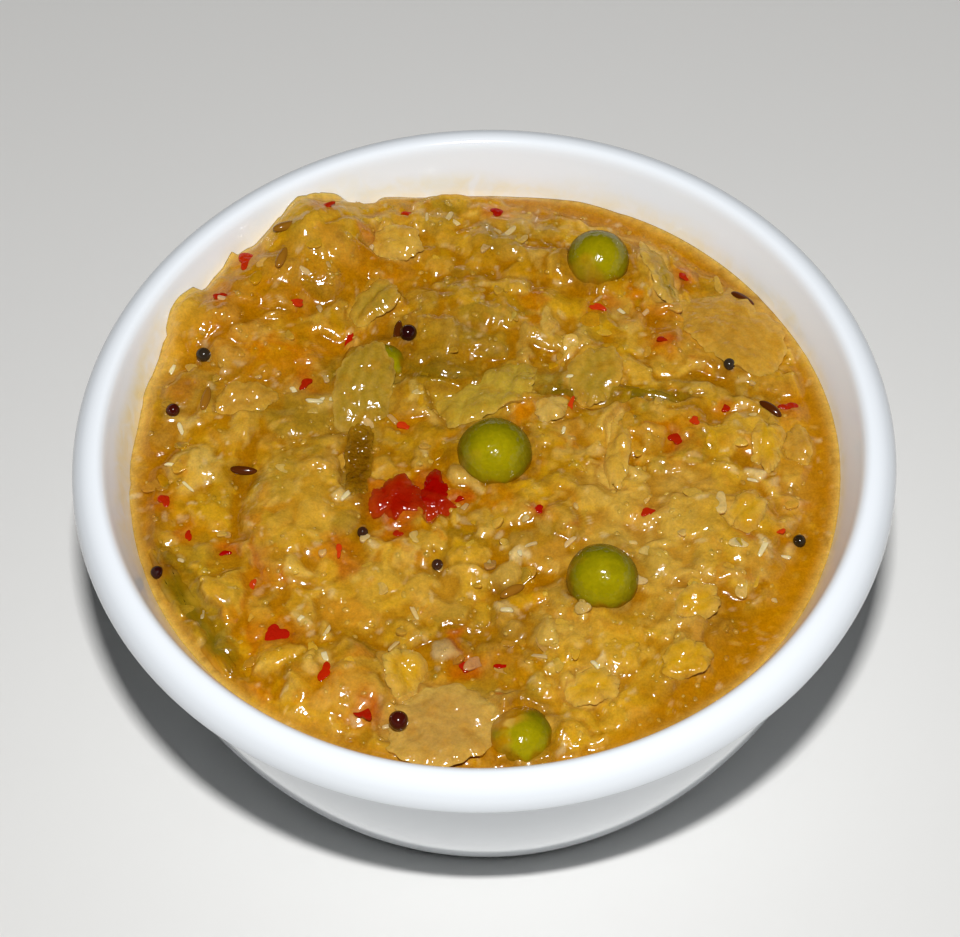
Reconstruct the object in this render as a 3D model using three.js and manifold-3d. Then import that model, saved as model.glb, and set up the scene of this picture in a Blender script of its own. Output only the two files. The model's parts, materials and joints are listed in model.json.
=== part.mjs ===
// A small white glazed bowl filled with kootu, a thick stew of lentils, cabbage and coconut,
// with green peas, cabbage leaves, a red chilli skin, a green chilli skin and curry leaves in
// its top. Millimetres, +Z up; the origin is the centre of the foot, on the table.

import * as THREE from 'three';
import { mergeVertices } from 'three/addons/utils/BufferGeometryUtils.js';
import Module from 'manifold-3d';

const wasm = await Module();
wasm.setup();

// ---------------------------------------------------------------------------
// Driving dimensions
// ---------------------------------------------------------------------------

// The bowl: a rounded rim band that stands proud of a gently bulging wall.
const BOWL_RADIUS = 50;
const BOWL_HEIGHT = 42;
const BOWL_SIDES = 48;
const BAND_HALF_WIDTH = 3.0;
const BAND_RISE = 3.7;
const BAND_DROP = 1.1;
const BAND_START = -60;
const BAND_STEPS = 3;
const WALL_TOP_RADIUS = 46.7;
const WALL_BULGE = 2.2;
const WALL_STEPS = 4;
const FOOT_RADIUS = 35.4;
const FOOT_ROUNDING = 1.6;
const FOOT_STEPS = 2;
const FOOT_RING_WIDTH = 3.4;
const FOOT_RECESS = 0.9;
const FLOOR_HEIGHT = 4.2;
const FLOOR_FLAT_RADIUS = 22;
const LIP_WIDTH = 1.5;
const LIP_DROP = 2.4;
const LIP_END = 155;
const LIP_STEPS = 2;

// The hollow of the bowl, as radii at heights between the floor and the lip.
const HOLLOW_CURVE = [
  new THREE.Vector2(FLOOR_FLAT_RADIUS, FLOOR_HEIGHT),
  new THREE.Vector2(30.5, 6.4),
  new THREE.Vector2(36.4, 13),
  new THREE.Vector2(40.4, 24),
  new THREE.Vector2(43.5, 35),
  new THREE.Vector2(45.6, 40.6),
];
const HOLLOW_STEPS = 6;

// The stew: gravy level at the wall, what it climbs at the upper left, and its mesh.
const GRAVY_LEVEL = 34.7;
const TOP_SWELL = 0.7;
const RIPPLE_HEIGHT = 0.32;
const RIPPLE_ALONG = { x: 0.83, y: 0.4, phase: 0 };
const RIPPLE_ACROSS = { x: -0.3, y: 0.71, phase: 1 };
const EDGE_WAVES = [{ height: 0.12, count: 5, phase: 1 }, { height: 0.1, count: 9, phase: 0 }];
const STEW_GAP = 0.3;
const STEW_RINGS = 13;
const STEW_SIDES = 42;
const STEW_WALL_SHARES = [0.72, 0.45, 0.22, 0.08, 0];
const EDGE_BLEND = 0.86;
const CLIMB_START = 0.45;
const CLIMB_HEIGHT = 3.6;
const CLIMB_ANGLE = THREE.MathUtils.degToRad(126);
const CLIMB_SPREAD = THREE.MathUtils.degToRad(27);

// Soft mounds of vegetable and lentil in the top of the stew:
// centre, half length, half width, turn in degrees and height.
const MOUND_FULLNESS = 0.7;
const SECOND_MOUND_SHARE = 0.35;
const MOUNDS = [
  { x: -22.5, y: -7, long: 10.5, wide: 7.5, turn: 80, rise: 1.9 },
  { x: 27, y: -13, long: 10, wide: 8, turn: 70, rise: 1.5 },
  { x: 0, y: 22, long: 12, wide: 6, turn: 8, rise: 1.5 },
  { x: -22, y: 31, long: 13, wide: 7, turn: 35, rise: 2.1 },
  { x: -33, y: 20, long: 8, wide: 5.5, turn: 75, rise: 1.4 },
  { x: -32.5, y: -18.5, long: 5.5, wide: 3.8, turn: 80, rise: 1.2 },
  { x: -19, y: -30, long: 9, wide: 6, turn: -25, rise: 1.5 },
  { x: 9, y: -27, long: 9, wide: 6.5, turn: 15, rise: 1.2 },
  { x: 23, y: -28, long: 7, wide: 5.5, turn: 40, rise: 1.1 },
  { x: -33, y: 5, long: 6.5, wide: 4.5, turn: 60, rise: 1.1 },
  { x: -2, y: -12, long: 9, wide: 6, turn: -30, rise: 0.9 },
  { x: 21, y: 6, long: 9, wide: 5, turn: 20, rise: 1.1 },
  { x: 5, y: 33, long: 8, wide: 5, turn: -10, rise: 1.0 },
  { x: 28, y: 20, long: 8, wide: 6.5, turn: 60, rise: 1.0 },
  { x: 8, y: -8, long: 7, wide: 5, turn: 50, rise: 0.9 },
  { x: -8, y: 12, long: 8, wide: 5, turn: 30, rise: 1.1 },
];

// Peas: centre, radius, and how far the middle stands over the stew around it.
const PEA_RINGS = 8;
const PEA_SIDES = 12;
const PEAS = [
  { x: 15.4, y: 30.9, radius: 4.1, lift: 0.7 },
  { x: 1.3, y: 1.0, radius: 4.6, lift: 0.5 },
  { x: 13.6, y: -17.8, radius: 4.35, lift: 0.6 },
  { x: 3.2, y: -38.2, radius: 4.2, lift: -1.3 },
  { x: -12.0, y: 15.8, radius: 3.3, lift: -0.95 },
];

// Cabbage: centre, half length, half width, turn, nose-up pitch and sideways roll in degrees,
// lift over the stew, bow of the sheet along its length, and how frilly the edge is.
const LEAF_THICKNESS = 0.9;
const LONG_SHEET = 6;
const SHORT_SHEET = 3;
const SHEET_SIDES = 10;
const SHEET_OVAL = 0.08;
const SHEET_WAVE = 1.6;
const SHEET_LOBES = [
  { count: 3, share: 0.8, phase: 1 },
  { count: 4, share: 0.7, phase: 2 },
  { count: 7, share: 0.6, phase: 0 },
];
const CABBAGE = [
  { x: -14.3, y: 11.4, long: 6.0, wide: 3.6, turn: 78, pitch: 16, roll: 3, lift: 1.7, bow: 0.4, frill: 0.06 },
  { x: 1.6, y: 10.2, long: 7.2, wide: 3.0, turn: 24, pitch: 6, roll: -14, lift: 1.0, bow: 0.8, frill: 0.08 },
  { x: 14.2, y: 12.4, long: 4.3, wide: 3.2, turn: 75, pitch: 12, roll: 0, lift: 1.1, bow: 0.5, frill: 0.05 },
  { x: 31.2, y: 19.0, long: 6.8, wide: 5.6, turn: 130, pitch: -4, roll: 6, lift: 0.7, bow: 0.9, frill: 0.07 },
  { x: -6.4, y: -36.3, long: 7.0, wide: 4.3, turn: -6, pitch: 3, roll: 2, lift: 1.1, bow: 0.7, frill: 0.03 },
  { x: -10.5, y: -29.6, long: 3.2, wide: 2.2, turn: 110, pitch: 22, roll: 10, lift: 1.2, bow: 0.6, frill: 0.08 },
  { x: -10.5, y: 33.6, long: 3.3, wide: 2.3, turn: -25, pitch: 8, roll: 16, lift: 0.9, bow: 0.5, frill: 0.06 },
  { x: -13.2, y: 24.4, long: 3.3, wide: 2.4, turn: 40, pitch: 14, roll: -10, lift: 0.9, bow: 0.3, frill: 0.10 },
  { x: -29.5, y: 10.3, long: 3.4, wide: 2.3, turn: 10, pitch: 5, roll: 12, lift: 0.8, bow: 0.4, frill: 0.06 },
  { x: 23.4, y: 28.2, long: 5.6, wide: 1.5, turn: 105, pitch: 0, roll: 30, lift: 1.0, bow: 0.6, frill: 0.05 },
  { x: 16.4, y: 1.2, long: 5.3, wide: 1.4, turn: 84, pitch: 0, roll: -20, lift: 0.8, bow: 0.5, frill: 0.05 },
  { x: 34.8, y: 1.4, long: 3.6, wide: 1.7, turn: 84, pitch: 3, roll: 8, lift: 0.8, bow: 0.4, frill: 0.10 },
  { x: 38.5, y: 1.4, long: 2.8, wide: 1.4, turn: 98, pitch: 0, roll: -16, lift: 0.7, bow: 0.3, frill: 0.05 },
  { x: 31.5, y: -9.2, long: 2.5, wide: 1.9, turn: 60, pitch: 12, roll: 0, lift: 1.0, bow: 0.5, frill: 0.10 },
  { x: 24.6, y: -21.6, long: 2.8, wide: 1.9, turn: 20, pitch: 10, roll: 10, lift: 0.9, bow: 0.5, frill: 0.10 },
  { x: 22.8, y: -29.6, long: 3.2, wide: 1.9, turn: 30, pitch: 6, roll: 12, lift: 0.9, bow: 0.6, frill: 0.10 },
  { x: 11.6, y: -32.6, long: 3.0, wide: 2.1, turn: 10, pitch: 6, roll: 8, lift: 0.8, bow: 0.6, frill: 0.10 },
  { x: 8.4, y: 7.6, long: 2.0, wide: 1.6, turn: 15, pitch: 8, roll: 0, lift: 0.9, bow: 0.3, frill: 0.10 },
];

// Skins and leaves with a colour of their own, given like the cabbage.
const RED_CHILLI = [
  { x: -11.4, y: -5.3, long: 3.3, wide: 3.1, turn: 20, pitch: 6, roll: 4, lift: 1.2, bow: 0.5, frill: 0.12 },
  { x: -6.1, y: -4.9, long: 3.7, wide: 2.3, turn: 100, pitch: 4, roll: -8, lift: 1.2, bow: 0.5, frill: 0.12 },
];
const RED_CHILLI_THICKNESS = 1.2;
const GREEN_CHILLI = {
  x: -15.3, y: -0.4, long: 4.9, wide: 1.8, turn: 86, pitch: -3, roll: 0, lift: 0.8, bow: -0.7, frill: 0.05,
};
const CURRY_LEAVES = [
  { x: -34.6, y: -19.6, long: 11, wide: 1.3, turn: -61, pitch: 0, roll: 10, lift: 0.5, bow: 0.1, frill: 0.03 },
  { x: 16.4, y: 9.6, long: 9.4, wide: 1.1, turn: -8, pitch: 0, roll: 26, lift: 0.5, bow: 0.1, frill: 0.03 },
];
const CURRY_LEAF_THICKNESS = 0.7;
const CURRY_LEAF_SWEEP = -0.011;

// Small toppings fused to the stew.
const MUSTARD_RADIUS = 0.88;
const MUSTARD_LIFT = 0.3;
const MUSTARD_SEEDS = [
  [-34.4, 16.2], [-38.2, 9.1], [-39.6, -14.0], [-6.0, -14.9], [37.6, -12.5],
  [30.9, 13.2], [-10.9, -36.6], [-8.9, 19.2], [-14.9, -9.6],
];
const CUMIN_HALF_LENGTH = 1.6;
const CUMIN_HALF_WIDTH = 0.55;
const CUMIN_LIFT = 0.2;
const CUMIN_SEEDS = [
  [33.4, 24.4, -35], [35.6, 6.9, -40], [-29.4, 0.4, -10], [-10.2, 20.2, 85],
  [-24.2, 34.3, 20], [-24.6, 29.1, 70], [-34.1, 10.2, 80], [2.8, -18.9, 30],
];
// Red chilli flakes: centre, length, width and turn in degrees.
const FLAKE_DEPTH = 1.0;
const FLAKE_SIDES = 5;
const FLAKE_TOP = 0.5;
const FLAKE_BASE = 0.42;
const FLAKES = [
  [-29.2, 30.4, 2.8, 2.2, 70], [-32.4, 24.4, 2.0, 1.1, -30], [-22.9, 24.0, 2.3, 0.9, 5],
  [-18.8, 37.6, 2.0, 0.7, 10], [-8.7, 38.6, 1.4, 0.8, 0], [2.8, 39.0, 1.9, 1.1, 10],
  [15.1, 23.5, 2.2, 1.0, -30], [26.2, 28.0, 1.6, 1.0, -40], [-16.3, 19.6, 2.4, 1.2, 75],
  [-21.8, 12.6, 1.9, 1.1, 30], [-9.7, 6.0, 1.9, 1.1, -10], [-39.0, -3.6, 1.8, 1.4, 80],
  [-36.0, -8.7, 1.7, 0.8, 80], [-31.5, -11.5, 1.3, 0.8, 10], [-28.1, -16.5, 1.6, 0.8, 60],
  [-25.3, -23.8, 3.6, 2.3, 60], [-19.4, -29.8, 2.3, 1.5, 80], [-3.1, -5.5, 1.2, 0.7, 0],
  [11.0, 8.2, 2.0, 0.8, 75], [6.4, -7.8, 1.4, 1.0, 0], [19.6, -8.4, 1.7, 1.5, 10],
  [23.6, 2.5, 1.9, 1.4, 20], [26.0, 4.7, 1.5, 1.0, 0], [38.0, 7.3, 2.4, 1.2, -10],
  [30.1, 7.1, 1.4, 0.9, 30], [22.9, 17.4, 1.5, 0.8, 0], [35.4, -11.6, 1.0, 0.8, 0],
  [-2.8, -28.6, 2.2, 1.4, 40], [1.2, -29.1, 1.7, 0.7, 5], [-15.0, -35.2, 2.4, 1.6, -60],
  [-17.7, -12.8, 1.7, 0.8, 80], [-10.7, -9.9, 1.3, 0.8, 20],
];

// Lentil grains and coconut shreds, strewn evenly and clear of the larger toppings.
const GRAIN_COUNT = 30;
const GRAIN_SIZE = [0.8, 1.5];
const GRAIN_STRETCH = [1, 1.6];
const GRAIN_SINK = 0.1;
const SHRED_COUNT = 18;
const SHRED_LENGTH = [1.9, 3.4];
const SHRED_WIDTH = 0.77;
const SHRED_TILT = [-0.2, 0.2];
const SHRED_LIFT = 0.12;
const SPREAD_RADIUS = 38.5;
const SPREAD_SPACING = 2.9;
const SPREAD_TRIES = 4000;
const PEA_CLEARANCE = 1.4;
const SHEET_CLEARANCE = 1.5;
const SEED_CLEARANCE = 1.8;
const SEED = 20260;

const COLOURS = {
  bowl: { color: 0xf3f3f5, roughness: 0.14 },
  kootu: { color: 0xc98f2e, roughness: 0.32 },
  pea: { color: 0x7d8b12, roughness: 0.22 },
  cabbage: { color: 0xcdb566, roughness: 0.25 },
  redChilli: { color: 0xb01208, roughness: 0.22 },
  greenChilli: { color: 0x5e5a14, roughness: 0.25 },
  curryLeaf: { color: 0x4e5214, roughness: 0.35 },
};

// ---------------------------------------------------------------------------
// Helpers
// ---------------------------------------------------------------------------

const { clamp, degToRad, lerp, smoothstep } = THREE.MathUtils;
const MERGE_DISTANCE = 1e-4;

/** A repeatable stream of numbers from 0 to 1. */
function makeRandom(seed) {
  let state = seed;
  return () => {
    state = (state * 1664525 + 1013904223) % 4294967296;
    return state / 4294967296;
  };
}

/** A plain mesh material of one finish in COLOURS. */
function makeMaterial({ color, roughness }) {
  return new THREE.MeshStandardMaterial({ color, roughness, metalness: 0 });
}

/** A solid for joining and cutting, from any closed geometry. */
function toSolid(geometry) {
  const bare = geometry.clone();
  bare.deleteAttribute('normal');
  bare.deleteAttribute('uv');
  const merged = mergeVertices(bare, MERGE_DISTANCE);
  const vertProperties = Float32Array.from(merged.attributes.position.array);
  const triVerts = Uint32Array.from(merged.index.array);
  return new wasm.Manifold(new wasm.Mesh({ numProp: 3, vertProperties, triVerts }));
}

/** The geometry of the largest piece of a solid; loose scraps of a cut are dropped. */
function toGeometry(solid) {
  const pieces = solid.decompose();
  pieces.sort((a, b) => b.volume() - a.volume());
  const mesh = pieces[0].getMesh();
  const geometry = new THREE.BufferGeometry();
  geometry.setAttribute('position', new THREE.BufferAttribute(mesh.vertProperties, 3));
  geometry.setIndex(new THREE.BufferAttribute(mesh.triVerts, 1));
  geometry.computeVertexNormals();
  return geometry;
}

/** A closed geometry from rows of points: a pole, equal rings, and a second pole. */
function closeRings(firstPole, rings, lastPole) {
  const sides = rings[0].length;
  const points = [firstPole, ...rings.flat(), lastPole];
  const lastIndex = points.length - 1;
  const index = [];
  for (let side = 0; side < sides; side += 1) {
    const next = (side + 1) % sides;
    index.push(0, 1 + side, 1 + next);
    for (let ring = 0; ring + 1 < rings.length; ring += 1) {
      const here = 1 + ring * sides;
      const below = here + sides;
      index.push(here + side, below + side, here + next);
      index.push(here + next, below + side, below + next);
    }
    const lastRing = 1 + (rings.length - 1) * sides;
    index.push(lastIndex, lastRing + next, lastRing + side);
  }
  const geometry = new THREE.BufferGeometry().setFromPoints(points);
  geometry.setIndex(index);
  return geometry;
}

// ---------------------------------------------------------------------------
// The bowl
// ---------------------------------------------------------------------------

/** Points of a quarter of an ellipse from one angle to the next, the last one left out. */
function arcPoints(centreR, centreZ, radiusR, radiusZ, from, to, steps) {
  return Array.from({ length: steps }, (_, step) => {
    const angle = degToRad(lerp(from, to, step / steps));
    return new THREE.Vector2(centreR + radiusR * Math.cos(angle), centreZ + radiusZ * Math.sin(angle));
  });
}

/** The outside of the wall, from the foot's rounding up to the rim band. */
function wallPoints() {
  const low = new THREE.Vector2(FOOT_RADIUS, FOOT_ROUNDING);
  const high = new THREE.Vector2(WALL_TOP_RADIUS, BOWL_HEIGHT - BAND_RISE - BAND_DROP);
  const across = high.clone().sub(low).normalize();
  const middle = low.clone().lerp(high, 0.5);
  middle.add(new THREE.Vector2(across.y, -across.x).multiplyScalar(2 * WALL_BULGE));
  return new THREE.QuadraticBezierCurve(low, middle, high).getPoints(WALL_STEPS);
}

const hollowPoints = new THREE.SplineCurve(HOLLOW_CURVE).getPoints(HOLLOW_STEPS);

/** How far the flat sides of the hollow lie from its axis at one height. */
function hollowRadius(height) {
  const last = hollowPoints.length - 1;
  const found = hollowPoints.findIndex((point) => point.y >= height);
  const upper = Math.max(found < 0 ? last : found, 1);
  const [a, b] = [hollowPoints[upper - 1], hollowPoints[upper]];
  const share = clamp((height - a.y) / (b.y - a.y), 0, 1);
  return lerp(a.x, b.x, share) * Math.cos(Math.PI / BOWL_SIDES);
}

/** One closed profile, from the axis under the foot to the axis on the inner floor. */
function bowlProfile() {
  const bandCentre = BOWL_HEIGHT - BAND_RISE;
  const bandInner = BOWL_RADIUS - BAND_HALF_WIDTH;
  const footInner = FOOT_RADIUS - FOOT_ROUNDING;
  const recessEdge = footInner - FOOT_RING_WIDTH;
  return [
    new THREE.Vector2(0, FOOT_RECESS),
    new THREE.Vector2(recessEdge - FOOT_RECESS, FOOT_RECESS),
    new THREE.Vector2(recessEdge, 0),
    ...arcPoints(footInner, FOOT_ROUNDING, FOOT_ROUNDING, FOOT_ROUNDING, -90, 0, FOOT_STEPS),
    ...wallPoints(),
    ...arcPoints(bandInner, bandCentre, BAND_HALF_WIDTH, BAND_DROP, BAND_START, 0, BAND_STEPS - 1),
    ...arcPoints(bandInner, bandCentre, BAND_HALF_WIDTH, BAND_RISE, 0, 90, BAND_STEPS),
    ...arcPoints(bandInner, BOWL_HEIGHT - LIP_DROP, LIP_WIDTH, LIP_DROP, 90, LIP_END, LIP_STEPS),
    ...[...hollowPoints].reverse(),
    new THREE.Vector2(0, FLOOR_HEIGHT),
  ];
}

/** The bowl itself, one turned solid. */
function makeBowl() {
  const geometry = new THREE.LatheGeometry(bowlProfile(), BOWL_SIDES);
  geometry.rotateX(Math.PI / 2);
  return geometry;
}

// ---------------------------------------------------------------------------
// The stew's body
// ---------------------------------------------------------------------------

/** Height of the stew where it meets the wall, in one direction. */
function edgeLevel(angle) {
  const away = Math.atan2(Math.sin(angle - CLIMB_ANGLE), Math.cos(angle - CLIMB_ANGLE));
  const climb = CLIMB_HEIGHT * Math.exp(-((away / CLIMB_SPREAD) ** 2));
  const waves = EDGE_WAVES.map(({ height, count, phase }) => height * Math.sin(count * angle + phase));
  return GRAVY_LEVEL + climb + waves[0] + waves[1];
}

/** How far a mound raises one point: a soft dome inside its ellipse. */
function moundRise(mound, x, y) {
  const turn = degToRad(mound.turn);
  const along = (x - mound.x) * Math.cos(turn) + (y - mound.y) * Math.sin(turn);
  const across = (y - mound.y) * Math.cos(turn) - (x - mound.x) * Math.sin(turn);
  const away = (along / mound.long) ** 2 + (across / mound.wide) ** 2;
  return away < 1 ? mound.rise * (1 - away) ** MOUND_FULLNESS : 0;
}

/** Where one point lies in a wave that runs over the stew. */
function wavePhase(wave, x, y) {
  return wave.x * x + wave.y * y + wave.phase;
}

/** Height of the top of the stew at one point. */
function stewHeight(x, y) {
  const angle = Math.atan2(y, x);
  const level = edgeLevel(angle);
  const edge = hollowRadius(level) - STEW_GAP;
  const reach = Math.hypot(x, y) / edge;
  const mounds = MOUNDS.map((mound) => moundRise(mound, x, y)).sort((a, b) => b - a);
  const weave = Math.sin(wavePhase(RIPPLE_ALONG, x, y)) * Math.cos(wavePhase(RIPPLE_ACROSS, x, y));
  const climb = (level - GRAVY_LEVEL) * smoothstep(reach, CLIMB_START, 1);
  const inner = GRAVY_LEVEL + climb + TOP_SWELL * (1 - reach * reach);
  const relief = mounds[0] + SECOND_MOUND_SHARE * mounds[1] + RIPPLE_HEIGHT * weave;
  return inner + relief * (1 - smoothstep(reach, EDGE_BLEND, 1));
}

/** The stew alone: its top, then the wall and the floor of the hollow less the gap. */
function makeStewBody() {
  const angles = Array.from({ length: STEW_SIDES }, (_, side) => (side / STEW_SIDES) * 2 * Math.PI);
  const ringOf = (place) => angles.map((angle) => {
    const { reach, height } = place(angle);
    return new THREE.Vector3(reach * Math.cos(angle), reach * Math.sin(angle), height);
  });
  const rings = [];
  for (let ring = 1; ring <= STEW_RINGS; ring += 1) {
    rings.push(ringOf((angle) => {
      const reach = (ring / STEW_RINGS) * (hollowRadius(edgeLevel(angle)) - STEW_GAP);
      return { reach, height: stewHeight(reach * Math.cos(angle), reach * Math.sin(angle)) };
    }));
  }
  for (const share of STEW_WALL_SHARES) {
    rings.push(ringOf((angle) => {
      const height = lerp(FLOOR_HEIGHT + STEW_GAP, edgeLevel(angle), share);
      return { reach: hollowRadius(height) - STEW_GAP, height };
    }));
  }
  const top = new THREE.Vector3(0, 0, stewHeight(0, 0));
  const bottom = new THREE.Vector3(0, 0, FLOOR_HEIGHT + STEW_GAP);
  return closeRings(top, rings, bottom);
}

// ---------------------------------------------------------------------------
// Peas and leaves
// ---------------------------------------------------------------------------

/** A pea where it lies, grown all round by a margin. */
function makePea(pea, margin = 0) {
  const geometry = new THREE.SphereGeometry(pea.radius + margin, PEA_SIDES, PEA_RINGS);
  geometry.rotateX(Math.PI / 2);
  geometry.translate(pea.x, pea.y, stewHeight(pea.x, pea.y) + pea.lift);
  return geometry;
}

/** Rings of triangles from the middle of a sheet to its edge: more in a longer sheet. */
function sheetRings({ long }) {
  if (long > LONG_SHEET) return 3;
  return long > SHORT_SHEET ? 2 : 1;
}

/**
 * A thin wavy sheet with a lobed outline, both faces split alike, grown by a margin and laid
 * on the stew by its centre, turn, pitch and roll.
 */
function makeSheet(sheet, { thickness, sweep = 0, margin = 0 }) {
  const random = makeRandom(Math.round(Math.abs(sheet.x * 131 + sheet.y * 17) + sheet.long * 1009));
  const phase = [random(), random(), random()].map((value) => value * 2 * Math.PI);
  const rings = sheetRings(sheet);
  const outline = (angle) => SHEET_LOBES.reduce(
    (sum, lobe) => sum + sheet.frill * lobe.share * Math.cos(lobe.count * angle + phase[lobe.phase]),
    1 + SHEET_OVAL * Math.cos(2 * angle + phase[0]),
  );
  const place = (fraction, angle, side) => {
    const grow = fraction * margin;
    const u = (sheet.long * outline(angle) * fraction + grow) * Math.cos(angle);
    const v = (sheet.wide * outline(angle) * fraction + grow) * Math.sin(angle);
    const bow = -sheet.bow * (u / sheet.long) ** 2;
    const wave = SHEET_WAVE * sheet.frill * fraction * Math.sin(3 * angle + phase[2]);
    const half = side * (thickness / 2 + margin);
    return new THREE.Vector3(u, v + sweep * u * u, bow + wave + half);
  };
  const angles = Array.from({ length: SHEET_SIDES }, (_, side) => (side / SHEET_SIDES) * 2 * Math.PI);
  const rows = [];
  for (let ring = 1; ring <= rings; ring += 1) {
    rows.push(angles.map((angle) => place(ring / rings, angle, 1)));
  }
  for (let ring = rings; ring >= 1; ring -= 1) {
    rows.push(angles.map((angle) => place(ring / rings, angle, -1)));
  }
  const geometry = closeRings(place(0, 0, 1), rows, place(0, 0, -1));
  geometry.rotateX(degToRad(sheet.roll));
  geometry.rotateY(-degToRad(sheet.pitch));
  geometry.rotateZ(degToRad(sheet.turn));
  geometry.translate(sheet.x, sheet.y, stewHeight(sheet.x, sheet.y) + sheet.lift);
  return geometry;
}

// ---------------------------------------------------------------------------
// Small toppings fused to the stew
// ---------------------------------------------------------------------------

/** A small faceted grain of the given half sizes, turned and sunk to its middle. */
function makeGrain(x, y, halfLong, halfWide, turn, lift) {
  const geometry = new THREE.OctahedronGeometry(1, 1);
  geometry.scale(halfLong, halfWide, halfWide);
  geometry.rotateZ(degToRad(turn));
  geometry.translate(x, y, stewHeight(x, y) + lift);
  return geometry;
}

/** A chilli flake: a flat five-sided chip lying in the surface. */
function makeFlake([x, y, long, wide, turn]) {
  const geometry = new THREE.CylinderGeometry(FLAKE_TOP, FLAKE_BASE, FLAKE_DEPTH, FLAKE_SIDES);
  geometry.rotateX(Math.PI / 2);
  geometry.scale(long, wide, 1);
  geometry.rotateZ(degToRad(turn));
  geometry.translate(x, y, stewHeight(x, y));
  return geometry;
}

/** A coconut shred: a short strip lying in the surface. */
function makeShred(x, y, long, turn, tilt) {
  const geometry = new THREE.BoxGeometry(long, SHRED_WIDTH, SHRED_WIDTH);
  geometry.rotateY(tilt);
  geometry.rotateZ(turn);
  geometry.translate(x, y, stewHeight(x, y) + SHRED_LIFT);
  return geometry;
}

/** Places spread evenly over the stew, no two closer than a spacing, clear of larger toppings. */
function spreadPlaces(count, random, taken) {
  const places = [];
  for (let tries = 0; tries < SPREAD_TRIES && places.length < count; tries += 1) {
    const reach = SPREAD_RADIUS * Math.sqrt(random());
    const angle = random() * 2 * Math.PI;
    const place = { x: reach * Math.cos(angle), y: reach * Math.sin(angle), clear: SPREAD_SPACING };
    const isFree = [...taken, ...places].every((other) => {
      const clear = Math.max(place.clear, other.clear);
      return Math.hypot(other.x - place.x, other.y - place.y) > clear;
    });
    if (isFree) places.push(place);
  }
  return places;
}

/** Everything small that is fused to the stew. */
function makeSmallToppings() {
  const random = makeRandom(SEED);
  const between = ([low, high]) => lerp(low, high, random());
  const taken = [
    ...PEAS.map((pea) => ({ x: pea.x, y: pea.y, clear: pea.radius + PEA_CLEARANCE })),
    ...[...CABBAGE, ...RED_CHILLI, GREEN_CHILLI].map((sheet) => (
      { x: sheet.x, y: sheet.y, clear: sheet.wide + SHEET_CLEARANCE })),
    ...[...MUSTARD_SEEDS, ...CUMIN_SEEDS, ...FLAKES].map(([x, y]) => ({ x, y, clear: SEED_CLEARANCE })),
  ];
  const grainPlaces = spreadPlaces(GRAIN_COUNT, random, taken);
  const shredPlaces = spreadPlaces(SHRED_COUNT, random, [...taken, ...grainPlaces]);
  return [
    ...MUSTARD_SEEDS.map(([x, y]) => (
      makeGrain(x, y, MUSTARD_RADIUS, MUSTARD_RADIUS, 0, MUSTARD_LIFT))),
    ...CUMIN_SEEDS.map(([x, y, turn]) => (
      makeGrain(x, y, CUMIN_HALF_LENGTH, CUMIN_HALF_WIDTH, turn, CUMIN_LIFT))),
    ...FLAKES.map(makeFlake),
    ...grainPlaces.map(({ x, y }) => {
      const size = between(GRAIN_SIZE);
      return makeGrain(x, y, size * between(GRAIN_STRETCH), size, random() * 180, -GRAIN_SINK * size);
    }),
    ...shredPlaces.map(({ x, y }) => (
      makeShred(x, y, between(SHRED_LENGTH), random() * Math.PI, between(SHRED_TILT)))),
  ];
}

// ---------------------------------------------------------------------------
// Assembly
// ---------------------------------------------------------------------------

/** Every topping that is a piece of its own: its name, finish, solid and grown solid. */
function listToppings() {
  const toppings = [];
  const add = (name, finish, build) => {
    toppings.push({ name, finish, solid: toSolid(build(0)), grown: toSolid(build(STEW_GAP)) });
  };
  PEAS.forEach((pea, index) => {
    add(`pea_${index + 1}`, COLOURS.pea, (margin) => makePea(pea, margin));
  });
  add('red_chilli', COLOURS.redChilli, (margin) => {
    const lobes = RED_CHILLI.map((lobe) => (
      toSolid(makeSheet(lobe, { thickness: RED_CHILLI_THICKNESS, margin }))));
    return toGeometry(lobes[0].add(lobes[1]));
  });
  add('green_chilli', COLOURS.greenChilli, (margin) => (
    makeSheet(GREEN_CHILLI, { thickness: LEAF_THICKNESS, margin })));
  CABBAGE.forEach((leaf, index) => {
    add(`cabbage_${index + 1}`, COLOURS.cabbage, (margin) => (
      makeSheet(leaf, { thickness: LEAF_THICKNESS, margin })));
  });
  CURRY_LEAVES.forEach((leaf, index) => {
    add(`curry_leaf_${index + 1}`, COLOURS.curryLeaf, (margin) => (
      makeSheet(leaf, { thickness: CURRY_LEAF_THICKNESS, sweep: CURRY_LEAF_SWEEP, margin })));
  });
  return toppings;
}

const bowlful = new THREE.Group();

/** Adds one named piece to the bowlful. */
function addPiece(name, geometry, finish) {
  const mesh = new THREE.Mesh(geometry, makeMaterial(finish));
  mesh.name = name;
  bowlful.add(mesh);
}

addPiece('bowl', makeBowl(), COLOURS.bowl);

const toppings = listToppings();
let stew = toSolid(makeStewBody());
for (const geometry of makeSmallToppings()) {
  stew = stew.add(toSolid(geometry));
}
const placed = [];
for (const topping of toppings) {
  let solid = topping.solid;
  for (const earlier of placed) {
    solid = solid.subtract(earlier);
  }
  placed.push(topping.grown);
  stew = stew.subtract(topping.grown);
  addPiece(topping.name, toGeometry(solid), topping.finish);
}
addPiece('kootu', toGeometry(stew), COLOURS.kootu);

export default bowlful;
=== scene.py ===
"""Dresses the bowl of kootu: a glazed white bowl filled with a wet yellow stew of lentils,
cabbage and coconut, with peas, cabbage leaves, chilli skins, curry leaves and seeds in it.

Lengths are millimetres in the model's frame and angles in the tables are degrees. Marks that are
placed on the photograph are given by their pixel in its 960 by 937 frame.
"""

from __future__ import annotations

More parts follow.
